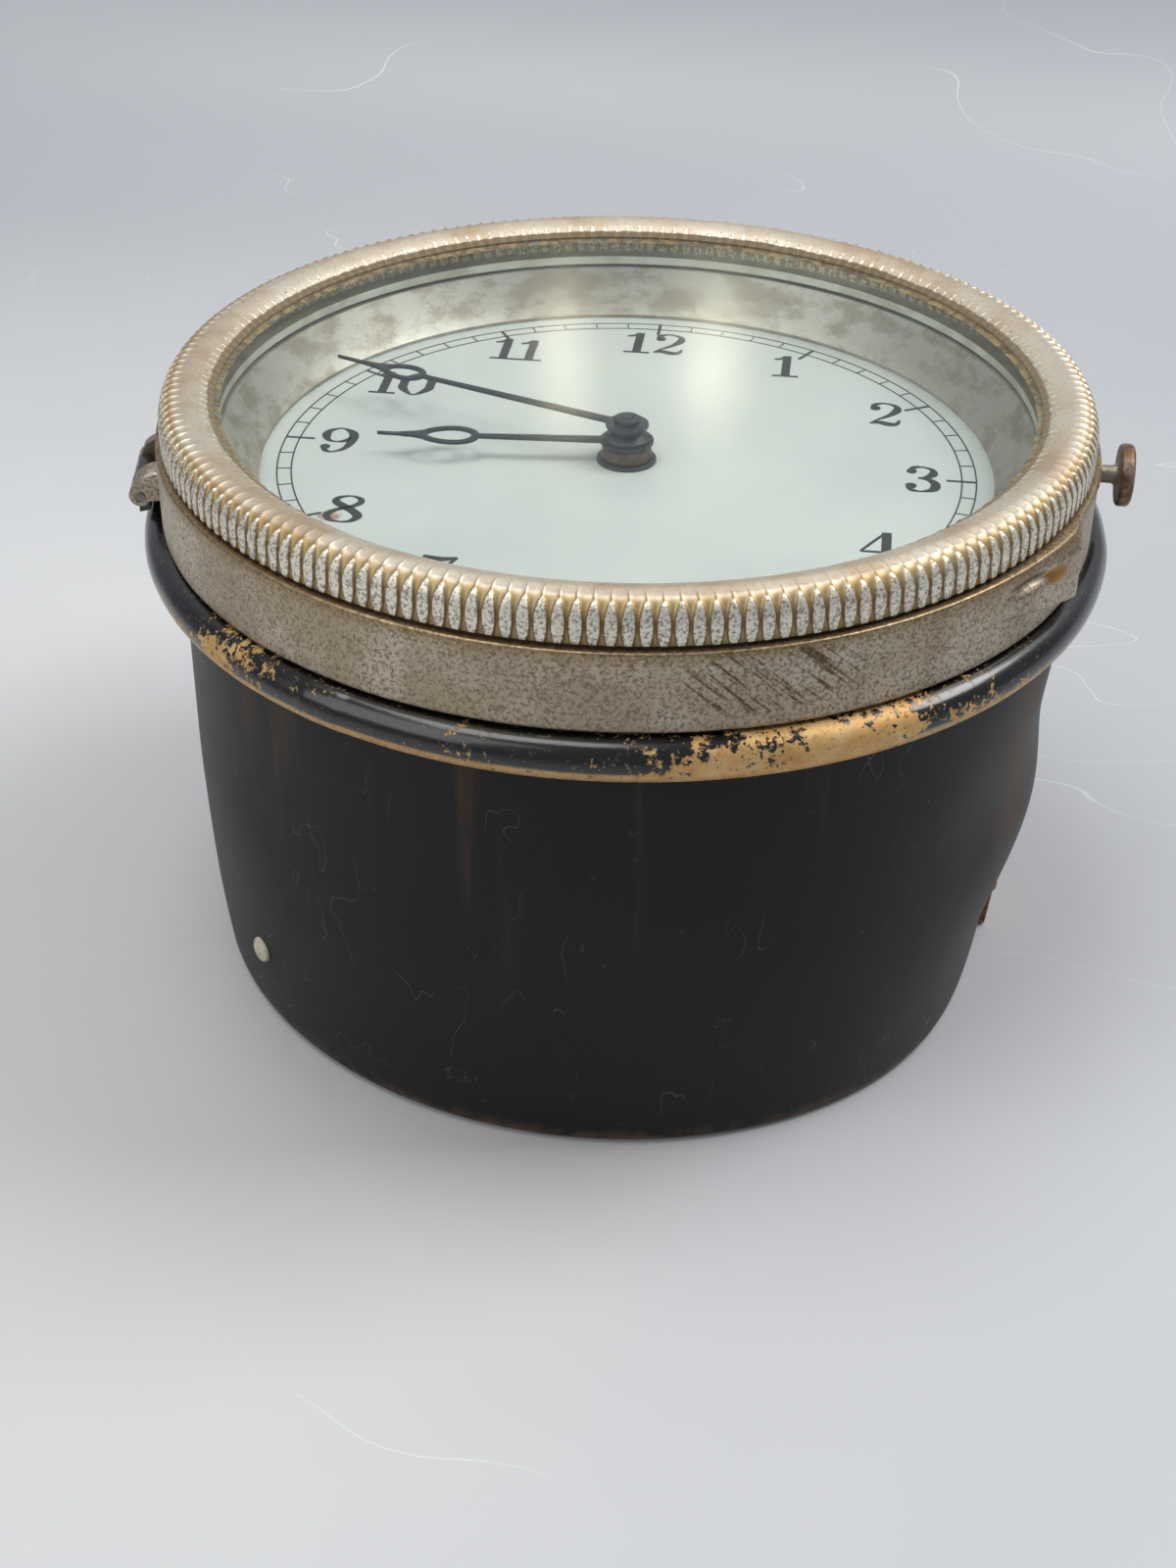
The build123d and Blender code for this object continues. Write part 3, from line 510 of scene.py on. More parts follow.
def lipPush(angle, z):                   # how far the pressed-out lip lifts the band
    degrees = (math.degrees(angle) + 180) % 360 - 180
    off = degrees - lip["apex"]
    if off < 0:
        swell = max(1 + off / lip["rise"], 0)
        swell = swell ** 1.5
    else:
        swell = max(1 - off / lip["fall"], 0) ** 0.6
    cut = lip["cut"] + lip["cutSlope"] * max(-off, 0)
    below = min(max((z - cut) / 0.35, 0), 1)
    above = min(max((52.35 - z) / 1.3, 0), 1)
    dip = lip["dip"]
    hollow = math.exp(-((degrees - dip["angle"]) / dip["halfAngle"]) ** 2
                      - ((z - dip["z"]) / dip["halfHeight"]) ** 2)
    return lip["reach"] * swell * below * (0.35 + 0.65 * above) - dip["depth"] * hollow


def makeBand(material):
    low, high = lowHigh("case_band")
    outR, inR, edge = high.y, high.y - band["wall"], band["edge"]
    holderR = lowHigh("movement_ring")[1].y - 0.6
    outline = arc((outR - edge, low.z + edge), edge, -90, 0, 4)
    outline += [(outR, low.z + edge + (high.z - low.z - 2 * edge) * i / 36) for i in range(1, 36)]
    outline += arc((outR - edge, high.z - edge), edge, 0, 90, 4)
    flangeZ = low.z + band["flange"]
    outline += [(inR, high.z), (inR, flangeZ), (holderR, flangeZ), (holderR, low.z)]

    def reshape(angle, radius, z, index):
        if radius < inR + 0.1:
            return radius, z
        sway = noise.noise(Vector((math.cos(angle) * 4, math.sin(angle) * 4, z * 0.2)))
        return radius + 0.03 * sway - 0.03 + lipPush(angle, z), z

    turned("caseBand", outline, material, "clock", "band_nickel", ["case_band", "thumb_lip"], 720, reshape)


# ---- hinge lug at 9 o'clock
hinge = {"angle": 190.0, "knuckleR": 1.0, "length": 9.0, "pinR": 0.45, "gap": 0.3, "fairing": 1.9}


def hingePlace(u, radius, z):            # u runs along the hinge line
    turn = math.radians(hinge["angle"])
    return (radius * math.cos(turn) - u * math.sin(turn), radius * math.sin(turn) + u * math.cos(turn), z)


def makeHinge(material):
    axis = [j for j in frame["joints"] if j["name"] == "clock_swing"][0]["pos_m"]
    axisR, axisZ = math.hypot(axis[0], axis[1]) / mm, axis[2] / mm
    bandR = lowHigh("case_band")[1].y
    half, quarter = hinge["length"] / 2, hinge["length"] / 4
    spans = {
        "hingeLugNear": (quarter + hinge["gap"] / 2, half, "clock", "nickel"),
        "hingeLugFar": (-half, -quarter - hinge["gap"] / 2, "clock", "nickel"),
        "hingeBarrelMiddle": (-quarter, quarter, "can", "bead_black"),
    }
    for name, (start, end, body, slot) in spans.items():
        onClock = body == "clock"
        points, faces = [], []
        steps = 10
        for i in range(steps + 1):
            u = start + (end - start) * i / steps
            ends = min(abs(u - start), abs(end - u))
            shrink = 1 - 0.10 * max(1 - ends / 0.25, 0) ** 2
            r = hinge["knuckleR"] * shrink
            if onClock:
                ring = arc((axisR, axisZ), r, -150, 55, 20)
                wallR = math.sqrt(bandR ** 2 - u ** 2) - 0.25
                tall = hinge["fairing"] * (1 - 0.25 * (u / half) ** 2)
                startR, startZ = axisR + 0.5, axisZ + r * 0.85
                ring += [(startR + (wallR - startR) * (1 - math.cos(a)), startZ + tall * math.sin(a))
                         for a in (math.radians(10 * i) for i in range(1, 10))]
                ring.append((wallR, axisZ - r * 0.4))
            else:
                ring = arc((axisR, axisZ), r, -60, 240, 24)
                ring += [(axisR - 0.5, axisZ - 2.4), (axisR + 0.5, axisZ - 2.6)]
            points += [hingePlace(u, rr, zz) for rr, zz in ring]
        row = len(ring)
        for i in range(steps):
            for j in range(row):
                k = (j + 1) % row
                faces.append((i * row + j, i * row + k, (i + 1) * row + k, (i + 1) * row + j))
        faces += [tuple(range(row)), tuple(reversed(range(steps * row, steps * row + row)))]
        node = ["band_hinge_leaf"] if name == "hingeLugNear" else []
        node = ["can_hinge_knuckle"] if body == "can" else node
        piece = makeMesh(name, points, faces, material if onClock else beadMaterial, body, slot, node)
        weldAxis(piece)
        softEdges(piece, 40)
    points, faces = dot(0, 0, hinge["pinR"], -half - 0.22, half + 0.22, 28)
    points = [hingePlace(z, axisR + x, axisZ + y) for x, y, z in points]
    pin = makeMesh("hingePin", points, faces, pinPaint(), "clock", "steel", ["hinge_pin"])
    softEdges(pin)


def pinPaint():
    paint = Paint("pinSteel")
    speck = paint.noise(2.5, 4, 0.7)
    colour = paint.mix(speck.fade(0.4, 0.6), (0.30, 0.27, 0.24), (0.16, 0.09, 0.05))
    return paint.finish(colour, 0.42 + speck * 0.2, 0.85, paint.bump(speck, 0.03, 0.5))


# ---- bezel with its fluted edge
bezel = {
    "flutes": 196,
    "across": 14,
    "depth": 0.30,
    "padWidth": 0.78,
    "padFoot": 0.05,
    "padTip": 0.34,
    "crestIn": 1.7,
    "openR": 37.0,
    "spigot": 1.3,
    "warm": (0.60, 0.495, 0.37),
    "cool": (0.70, 0.64, 0.53),
    "groove": (0.44, 0.31, 0.135),
    "pad": (0.93, 0.90, 0.78),
    "grime": (0.14, 0.095, 0.045),
}


def padLevel(z, footZ, topZ):            # 0 at a flute's foot, 1 at its tip
    low = footZ + bezel["padFoot"]
    return (z - low) / (topZ - bezel["padTip"] - low)


def padShare(skewed):                    # how much of the pitch a flute's flat takes
    return (skewed * (1 - skewed) * 4) ** 0.6 * bezel["padWidth"]


def bezelPaint():
    paint = Paint("bezelNickel")
    low, high = lowHigh("bezel")
    footZ, outR = low.z + bezel["spigot"], high.y
    flat = paint.wrapped(40)
    cloud = paint.noise(0.16, 4, 0.6, flat, None, 4.0)
    speck = paint.noise(3.4, 4, 0.75)
    ragged = paint.noise(0.9, 5, 0.7, None, None, 9.0)
    centred = ((paint.angle / (fullTurn / bezel["flutes"])).maths("FRACT") - 0.5).maths("ABSOLUTE") * 2
    level = padLevel(paint.z, footZ, high.z)
    skewed = (level + 0.1).maths("MAXIMUM", 0.0) / 1.1
    share = padShare(skewed.maths("MINIMUM", 0.999))
    onPad = (share - centred).fade(-0.03, 0.05) * level.fade(-0.02, 0.02) * (1 - level.fade(0.96, 1.0))
    outline = (share - centred).hump(0.0, 0.14) * level.fade(-0.02, 0.02) * (1 - level.fade(0.9, 1.0))
    side = paint.radius.fade(outR - 1.45, outR - 0.9)
    gold = side * (1 - onPad) * (0.55 + cloud * 0.6)
    foot = (1 - paint.z.fade(footZ + 0.05, footZ + 0.5)) * paint.radius.fade(outR - 0.7, outR - 0.4)
    inner = 1 - paint.radius.fade(bezel["openR"] + 0.05, bezel["openR"] + 1.0)
    grime = (inner * 1.25 + ragged * 0.9).fade(0.90, 1.25)
    stain = inner.fade(0.05, 0.8) * ragged.fade(0.35, 0.6) * 0.5 + cloud.fade(0.52, 0.70) * 0.25
    colour = paint.mix(cloud.fade(0.35, 0.62), bezel["cool"], bezel["warm"])
    colour = paint.mix(speck.fade(0.50, 0.66) * 0.35, colour, (0.24, 0.18, 0.12))
    colour = paint.mix(stain, colour, (0.33, 0.22, 0.11))
    colour = paint.mix(gold, colour, bezel["groove"])
    colour = paint.mix(onPad * 0.9, colour, bezel["pad"])
    colour = paint.mix(onPad * speck.fade(0.47, 0.60) * 0.8, colour, (0.20, 0.17, 0.13))
    colour = paint.mix(outline * 0.50 + foot * 0.25, colour, (0.20, 0.115, 0.04))
    colour = paint.mix(grime * 0.88, colour, bezel["grime"])
    rough = 0.40 + cloud * 0.14 + grime * 0.35 + speck * 0.10
    metal = 0.95 - grime * 0.85 - gold * 0.2
    height = speck * 0.4 + cloud * 0.3 - grime * 0.4
    return paint.finish(colour, rough, metal, paint.bump(height, 0.025, 0.45))


def makeBezel(material):
    low, high = lowHigh("bezel")
    glassHigh = lowHigh("glass")[1]
    glassTop, seatR, openR = glassHigh.z, glassHigh.y + 0.1, bezel["openR"]
    outR, topZ = high.y, high.z
    footZ, crestR = low.z + bezel["spigot"], high.y - bezel["crestIn"]
    shoulderZ = footZ + (topZ - footZ) * 0.42
    straight, curved = 14, 22
    rim = [(outR, footZ + (shoulderZ - footZ) * i / straight) for i in range(straight)]
    rim += [(crestR + (outR - crestR) * math.cos(a), shoulderZ + (topZ - shoulderZ) * math.sin(a))
            for a in (math.pi / 2 * i / curved for i in range(curved + 1))]
    last = len(rim) - 1
    drop = topZ - glassTop
    slope = [(crestR - (crestR - openR) * t, topZ - drop * (0.06 * t + 0.66 * t ** 2.4))
             for t in (0.15, 0.3, 0.45, 0.6, 0.72, 0.84, 0.93, 1.0)]
    inside = [(openR, glassTop), (seatR, glassTop), (seatR, low.z), (outR - 0.8, low.z), (outR - 0.8, footZ)]
    outline = rim + slope + inside

    def reshape(angle, radius, z, index):
        if index > last:
            return radius, z
        centred = abs((angle / fullTurn * bezel["flutes"]) % 1.0 - 0.5) * 2
        level = padLevel(z, footZ, topZ)
        if level < 0:
            return radius - bezel["depth"] * 0.8, z
        share = padShare(min(level + 0.1, 1.099) / 1.1) if level < 1 else 0.0
        across = min(max((1 - centred) / max(1 - share, 0.05), 0), 1)
        sink = bezel["depth"] * math.sqrt(max(1 - across ** 2, 0)) if centred > share else 0.0
        lean = math.pi / 2 * max(index - straight, 0) / curved
        fading = min(max((1.25 - level) / 0.35, 0), 1)
        sink = sink * fading + bezel["depth"] * 0.5 * (1 - fading)
        return radius - sink * math.cos(lean), z - sink * math.sin(lean)

    turned("flutedBezel", outline, material, "turning_bezel", "nickel", ["bezel"],
           bezel["flutes"] * bezel["across"], reshape)


# ---- glass and the crust that seals it
glass = {"bevel": 0.5, "clear": (0.985, 1.0, 0.992), "ior": 1.5, "sealWidth": 0.55}


def glassPaint():
    paint = Paint("clockGlass")
    smear = paint.noise(0.10, 5, 0.6, None, (1, 0.25, 1), 3.0)
    dusty = paint.noise(1.6, 5, 0.75, None, None, 6.0).fade(0.64, 0.74) * 0.05
    clear = paint.node("ShaderNodeBsdfTransparent", None, {"Color": (*glass["clear"], 1)})
    shine = paint.node("ShaderNodeBsdfPrincipled", None,
                       {"Base Color": (0.80, 0.86, 0.84, 1), "Roughness": 0.12 + smear * 0.10,
                        "Metallic": 1.0})
    mirror = paint.node("ShaderNodeFresnel", None, {"IOR": glass["ior"]})
    back = paint.node("ShaderNodeNewGeometry", out="Backfacing")
    amount = (mirror * 1.1 + dusty) * (1 - back)
    return paint.output(paint.node("ShaderNodeMixShader", None, {0: amount, 1: clear, 2: shine}))


def makeGlass():
    low, high = lowHigh("glass")
    bevel = glass["bevel"]
    outline = [(0, low.z), (high.y - 0.1, low.z), (high.y, low.z + 0.1), (high.y, high.z - bevel * 0.5),
               (high.y - 0.9, high.z - 0.02), (high.y - 1.6, high.z), (0, high.z)]
    turned("crystal", outline, glassPaint(), "turning_bezel", "crystal", ["glass"], 256)


def sealPaint():
    paint = Paint("sealCrust")
    crust = paint.noise(1.1, 5, 0.7)
    colour = paint.mix(crust.fade(0.4, 0.62), (0.10, 0.085, 0.055), (0.30, 0.22, 0.11))
    green = paint.noise(0.7, 3, 0.6, None, None, 8.0).fade(0.54, 0.64) * 0.6
    colour = paint.mix(green, colour, (0.16, 0.22, 0.19))
    return paint.finish(colour, 0.65 + crust * 0.2, 0.0, paint.bump(crust, 0.10, 0.8))


def makeSeal():
    glassTop = lowHigh("glass")[1].z
    openR = bezel["openR"]

    def reshape(angle, radius, z, index):
        rag = noise.noise(Vector((math.cos(angle) * 45, math.sin(angle) * 45, 0.3)))
        rag += 0.6 * noise.noise(Vector((math.cos(angle) * 120, math.sin(angle) * 120, 4.0)))
        return radius + (0.16 * rag if radius < openR - 0.2 else 0), z

    outline = [(openR + 0.02, glassTop + 0.01), (openR + 0.02, glassTop + 0.24),
               (openR - 0.12, glassTop + 0.16), (openR - glass["sealWidth"], glassTop + 0.01)]
    turned("glassSeal", outline, sealPaint(), "turning_bezel", "pin_brown", (), 900, reshape)


# ---- dial surround and dial
surround = {"wall": 0.5, "tone": (0.46, 0.44, 0.385), "dull": (0.27, 0.235, 0.175)}


def surroundPaint():
    paint = Paint("surroundTin")
    flat = paint.wrapped(35)
    cloud = paint.noise(0.22, 5, 0.65, flat, (1, 2, 1), 4.0)
    speck = paint.noise(2.8, 4, 0.75)
    blots = cloud.fade(0.44, 0.62) * 0.75 + speck.fade(0.54, 0.66) * 0.4
    colour = paint.mix(blots, surround["tone"], surround["dull"])
    return paint.finish(colour, 0.40 + cloud * 0.2, 0.75, paint.bump(speck + cloud, 0.03, 0.5))


def makeSurround():
    low, high = lowHigh("dial_surround")
    dialR = lowHigh("dial")[1].y
    viewR, topR = 33.5, high.y - surround["wall"]
    outline = [(viewR, low.z), (dialR, low.z), (dialR, low.z + 0.6), (high.y, high.z), (topR, high.z)]
    outline += [(viewR + (topR - viewR) * t ** 0.85, low.z + 0.35 + (high.z - low.z - 0.35) * t)
                for t in (0.85, 0.7, 0.55, 0.4, 0.25, 0.1, 0.0)]
    turned("dialSurround", outline, surroundPaint(), "clock", "inner_tin", ["dial_surround"], 300)


dial = {
    "face": (0.545, 0.570, 0.555),
    "pale": (0.590, 0.615, 0.595),
    "fleck": (0.24, 0.23, 0.19),
    "rust": (0.30, 0.13, 0.05),
    "rustPlace": (-24.6, -15.0),
    "ink": (0.012, 0.012, 0.014),
    "trackR": (30.6, 31.9),
    "lineWidth": 0.13,
    "hourTickFrom": 29.2,
    "numeralR": 27.0,
    "numeralHeight": 5.2,
    "lift": 0.035,
}


def dialPaint():
    paint = Paint("dialSilver")
    cloud = paint.noise(0.07, 4, 0.55, None, None, 2.0)
    grain = paint.noise(4.0, 3, 0.7)
    flecks = (1 - paint.cells(0.42, None, 5.0).fade(0.015, 0.055)) * paint.noise(0.2, 2, 0.5).fade(0.45, 0.6)
    rx, ry = dial["rustPlace"]
    away = ((paint.x - rx) * (paint.x - rx) + (paint.y - ry) * (paint.y - ry)) ** 0.5
    rust = 1 - (away + paint.noise(0.9, 4, 0.7, None, None, 3.0) * 2.4 - 1.2).fade(0.5, 1.3)
    edge = paint.radius.fade(32.6, 33.6) * paint.noise(0.6, 4, 0.7, None, None, 7.0).fade(0.40, 0.62)
    colour = paint.mix(cloud.fade(0.35, 0.65), dial["face"], dial["pale"])
    colour = paint.mix(flecks * 0.7 + edge * 0.35, colour, dial["fleck"])
    colour = paint.mix(rust * 0.9, colour, dial["rust"])
    rough = 0.42 + cloud * 0.1 + rust * 0.3
    return paint.finish(colour, rough, 0.12 - rust * 0.12, paint.bump(grain + rust * 2, 0.012, 0.4))


def makeDial():
    low, high = lowHigh("dial")
    holeR = 1.8
    outline = [(holeR, low.z), (high.y, low.z), (high.y, high.z)]
    outline += [(high.y + (holeR - high.y) * t / 12, high.z) for t in range(1, 13)]
    turned("dialPlate", outline, dialPaint(), "clock", "dial_silver", ["dial"], 256)


def inkPaint():
    paint = Paint("dialInk")
    wear = paint.noise(1.8, 5, 0.7)
    colour = paint.mix(wear.fade(0.56, 0.70) * 0.45, dial["ink"], (0.12, 0.12, 0.11))
    return paint.finish(colour, 0.5 + wear * 0.1, 0.0)


# numerals: strokes of (x, y, width) in a box one unit high, and dots (x, y, radius)
fat, mid, thin = 0.165, 0.10, 0.045
numerals = {
    "0": ([([(0.32, 0.98, thin), (0.09, 0.72, fat), (0.07, 0.5, fat), (0.09, 0.28, fat), (0.32, 0.02, thin),
             (0.55, 0.28, fat), (0.57, 0.5, fat), (0.55, 0.72, fat)], True)], []),
    "1": ([([(0.31, 0.03, fat), (0.31, 0.5, fat), (0.31, 0.97, fat)], False),
           ([(0.06, 0.03, 0.06), (0.56, 0.03, 0.06)], False),
           ([(0.30, 0.96, 0.06), (0.20, 0.84, 0.07), (0.07, 0.79, 0.05)], False)], []),
    "2": ([([(0.10, 0.72, thin), (0.13, 0.88, mid), (0.32, 0.97, thin), (0.53, 0.86, mid), (0.54, 0.66, fat),
             (0.40, 0.44, mid), (0.18, 0.22, thin), (0.07, 0.06, thin)], False),
           ([(0.07, 0.07, thin), (0.22, 0.13, 0.12), (0.40, 0.07, 0.15), (0.54, 0.09, mid),
             (0.60, 0.26, thin)], False)], [(0.15, 0.74, 0.095)]),
    "3": ([([(0.09, 0.80, thin), (0.18, 0.94, mid), (0.34, 0.97, thin), (0.50, 0.88, mid), (0.51, 0.70, fat),
             (0.38, 0.56, mid), (0.25, 0.53, thin)], False),
           ([(0.25, 0.53, thin), (0.42, 0.50, mid), (0.55, 0.34, fat), (0.52, 0.12, fat), (0.32, 0.02, thin),
             (0.14, 0.06, mid), (0.06, 0.20, thin)], False)], [(0.14, 0.79, 0.09), (0.13, 0.22, 0.10)]),
    "4": ([([(0.44, 0.03, fat), (0.44, 0.5, fat), (0.44, 0.98, fat)], False),
           ([(0.42, 0.97, thin), (0.20, 0.60, 0.055), (0.02, 0.28, thin)], False),
           ([(0.02, 0.28, 0.06), (0.64, 0.28, 0.06)], False),
           ([(0.24, 0.03, 0.06), (0.64, 0.03, 0.06)], False)], []),
    "5": ([([(0.12, 0.92, 0.13), (0.34, 0.90, 0.14), (0.55, 0.95, 0.06)], False),
           ([(0.12, 0.96, thin), (0.10, 0.52, thin)], False),
           ([(0.10, 0.52, thin), (0.24, 0.61, mid), (0.42, 0.60, mid), (0.56, 0.44, fat), (0.56, 0.22, fat),
             (0.40, 0.04, mid), (0.22, 0.02, thin), (0.08, 0.10, mid), (0.06, 0.20, thin)], False)],
          [(0.13, 0.21, 0.10)]),
    "6": ([([(0.54, 0.80, thin), (0.46, 0.94, mid), (0.32, 0.98, thin), (0.14, 0.82, mid), (0.07, 0.50, fat),
             (0.10, 0.20, fat), (0.32, 0.02, thin), (0.52, 0.12, mid), (0.57, 0.30, fat), (0.50, 0.50, mid),
             (0.34, 0.57, thin), (0.18, 0.50, mid), (0.10, 0.34, thin)], False)], [(0.49, 0.79, 0.09)]),
    "7": ([([(0.05, 0.97, thin), (0.18, 0.90, 0.14), (0.36, 0.88, 0.14), (0.60, 0.95, 0.06)], False),
           ([(0.60, 0.95, thin), (0.44, 0.62, 0.09), (0.33, 0.34, 0.15), (0.30, 0.03, 0.19)], False),
           ([(0.055, 0.98, thin), (0.04, 0.74, thin)], False)], []),
    "8": ([([(0.32, 0.97, thin), (0.13, 0.88, mid), (0.11, 0.74, 0.14), (0.24, 0.61, fat), (0.44, 0.45, fat),
             (0.58, 0.26, fat), (0.50, 0.07, mid), (0.32, 0.02, thin), (0.13, 0.08, mid), (0.06, 0.26, 0.13),
             (0.18, 0.44, mid), (0.40, 0.58, mid), (0.53, 0.74, 0.12), (0.50, 0.89, mid)], True)], []),
}
nine = [([(0.64 - x, 1 - y, w) for x, y, w in path], closed) for path, closed in numerals["6"][0]]
numerals["9"] = (nine, [(0.64 - x, 1 - y, r) for x, y, r in numerals["6"][1]])
digitWidth = {"1": 0.50}


def numeralLumps(text, centreX, centreY, height, low, high):
    advance = [digitWidth.get(c, 0.66) for c in text]
    cursor = centreX - sum(advance) * height / 2
    lumps = []
    for character, wide in zip(text, advance):
        shift = (wide - 0.64) / 2

        def placed(x, y):
            return cursor + (x + shift) * height, centreY + (y - 0.5) * height

        strokes, dots = numerals[character]
        for layer, (path, closed) in enumerate(strokes):
            path = smoothPath(path, 7, closed)
            path = [(*placed(x, y), w * height) for x, y, w in path]
            rise = layer * 0.004
            lumps.append(ribbon(path, low, high + rise, closed))
        for x, y, r in dots:
            lumps.append(dot(*placed(x, y), r * height, low, high + 0.012))
        cursor += wide * height
    return lumps


def ringStroke(radius, width, low, high, steps=360):
    path = [(radius * math.cos(fullTurn * i / steps), radius * math.sin(fullTurn * i / steps), width)
            for i in range(steps)]
    return ribbon(path, low, high, True)


def makeNumerals():
    top = lowHigh("dial")[1].z
    low, high = top - 0.02, top + dial["lift"]
    ink = inkPaint()
    lumps = []
    for hour in range(1, 13):
        angle = math.radians(90 - hour * 30)
        x, y = dial["numeralR"] * math.cos(angle), dial["numeralR"] * math.sin(angle)
        lumps += numeralLumps(str(hour), x, y, dial["numeralHeight"], low, high)
    makeMesh("hourNumerals", *joined(lumps), ink, "clock", "blued_steel", (), False)
    inner, outer = dial["trackR"]
    lines = [ringStroke(r, dial["lineWidth"], low, high) for r in dial["trackR"]]
    for minute in range(60):
        angle = math.radians(minute * 6)
        onHour = minute % 5 == 0
        start = dial["hourTickFrom"] if onHour else inner
        width = dial["lineWidth"] * (2.4 if onHour else 1.0)
        path = [(r * math.cos(angle), r * math.sin(angle), width) for r in (start, outer)]
        lines.append(ribbon(path, low, high + 0.004))
    makeMesh("minuteTrack", *joined(lines), ink, "clock", "blued_steel", (), False)


# ---- hands
hands = {
    "hour": {"angle": 184.8, "length": 22.9, "ringAt": 16.3, "ringHalf": 2.7, "ringWide": 1.85, "hub": 2.5,
             "stem": (1.15, 0.62), "node": "hour_hand", "body": "hours"},
    "minute": {"angle": 159.5, "length": 31.2, "ringAt": 23.8, "ringHalf": 2.2, "ringWide": 1.6, "hub": 2.0,
               "stem": (1.0, 0.52), "node": "minute_hand", "body": "minutes"},
    "metal": 0.55,
    "crown": 0.10,
    "blue": (0.040, 0.052, 0.070),
    "black": (0.022, 0.023, 0.027),
}


def handPaint():
    paint = Paint("blueSteel")
    cloud = paint.noise(0.5, 4, 0.6)
    rust = paint.noise(1.4, 5, 0.75, None, None, 4.0).fade(0.62, 0.72)
    colour = paint.mix(cloud, hands["black"], hands["blue"])
    colour = paint.mix(rust * 0.6, colour, (0.12, 0.06, 0.03))
    return paint.finish(colour, 0.30 + cloud * 0.15 + rust * 0.2, 0.55, paint.bump(cloud + rust, 0.02, 0.4))


def turnPoints(lump, degrees):
    turn = math.radians(degrees)
    points, faces = lump
    return [(x * math.cos(turn) - y * math.sin(turn), x * math.sin(turn) + y * math.cos(turn), z)
            for x, y, z in points], faces


def makeHand(key, material):
    hand = hands[key]
    low, high = lowHigh(hand["node"])
    near, far = hand["ringAt"] - hand["ringHalf"], hand["ringAt"] + hand["ringHalf"]
    wide, narrow = hand["stem"]
    top = high.z - hands["crown"]
    stem = [(hand["hub"] * 0.6, 0, wide), (near * 0.6, 0, (wide + narrow) / 2), (near + 0.3, 0, narrow)]
    stem = smoothPath(stem, 6)
    tip = [(far - 0.45, 0, 1.7), (far + 0.5, 0, 0.95), (far + 1.6, 0, 0.62),
           ((far + hand["length"]) / 2, 0, 0.40), (hand["length"], 0, 0.10)]
    tip = smoothPath(tip, 8)
    loop = []
    metal = hands["metal"]
    for i in range(48):
        a = fullTurn * i / 48
        pinch = 1 - 0.16 * math.cos(a)
        along = hand["ringAt"] + (hand["ringHalf"] - metal / 2) * math.cos(a)
        across = (hand["ringWide"] - metal / 2) * math.sin(a) * pinch * 0.93
        loop.append((along, across, metal * (1 + 0.25 * math.cos(a) ** 4)))
    hubR = hand["hub"] * 0.62
    hub = [(hubR * math.cos(fullTurn * i / 40), hubR * math.sin(fullTurn * i / 40), hand["hub"] * 0.74)
           for i in range(40)]
    lumps = [ribbon(stem, low.z, top, False, hands["crown"]), ribbon(tip, low.z, top, False, hands["crown"]),
             ribbon(loop, low.z, top, True, hands["crown"]), ribbon(hub, low.z, top, True, hands["crown"])]
    points, faces = turnPoints(joined(lumps), hand["angle"])
    piece = makeMesh(f"{key}Hand", points, faces, material, hand["body"], "blued_steel", [hand["node"]])
    softEdges(piece, 30)


def makeCentre(material):
    low, high = lowHigh("minute_collet")
    outR = high.y
    outline = [(0, low.z), (outR, low.z), *arc((outR - 0.15, high.z - 0.15), 0.15, 0, 90, 4), (0.62, high.z),
               (0.56, high.z - 0.12), (0.5, high.z + 0.05), (0, high.z + 0.12)]
    turned("minuteCollet", outline, material, "minutes", "blued_steel", ["minute_collet"], 64)
    low, high = lowHigh("hour_hand")
    bossTop = high.z + 0.62
    outline = [(1.0, high.z - 0.01), (2.15, high.z - 0.01), (2.15, high.z + 0.2), (1.55, bossTop - 0.1),
               (1.45, bossTop), (1.0, bossTop)]
    turned("hourBoss", outline, material, "hours", "blued_steel", (), 64)
    low, high = lowHigh("dial_washer")
    under = lowHigh("hour_hand")[0].z
    outline = [(1.5, high.z + 0.12), (2.3, high.z + 0.12), (2.35, high.z + 0.4), (2.2, under - 0.25),
               (1.9, under), (1.5, under)]
    turned("hourDrum", outline, brownPaint(), "hours", "blued_steel", (), 64)
    outR = high.y
    outline = [(1.8, low.z), (outR, low.z), *arc((outR - 0.1, high.z - 0.1), 0.1, 0, 90, 4), (1.8, high.z)]
    turned("dialWasher", outline, material, "clock", "blued_steel", ["dial_washer"], 64)


def brownPaint():
    paint = Paint("hubBrown")
    cloud = paint.noise(1.1, 5, 0.7)
    colour = paint.mix(cloud.fade(0.4, 0.62), (0.045, 0.034, 0.028), (0.15, 0.10, 0.065))
    return paint.finish(colour, 0.35 + cloud * 0.2, 0.6, paint.bump(cloud, 0.03, 0.5))


# ---- set pin
setPin = {"brown": (0.16, 0.085, 0.050), "bright": (0.34, 0.25, 0.19)}


def setPinPaint():
    paint = Paint("setPinBrass")
    cloud = paint.noise(0.7, 5, 0.65)
    speck = paint.noise(2.8, 4, 0.7)
    colour = paint.mix(cloud.fade(0.42, 0.62), setPin["brown"], setPin["bright"])
    colour = paint.mix(1 - paint.x.fade(44.0, 44.4), colour, (0.42, 0.39, 0.36))
    colour = paint.mix(speck.fade(0.52, 0.66) * 0.7, colour, (0.035, 0.022, 0.018))
    return paint.finish(colour, 0.36 + cloud * 0.25, 0.8, paint.bump(speck + cloud, 0.05, 0.6))


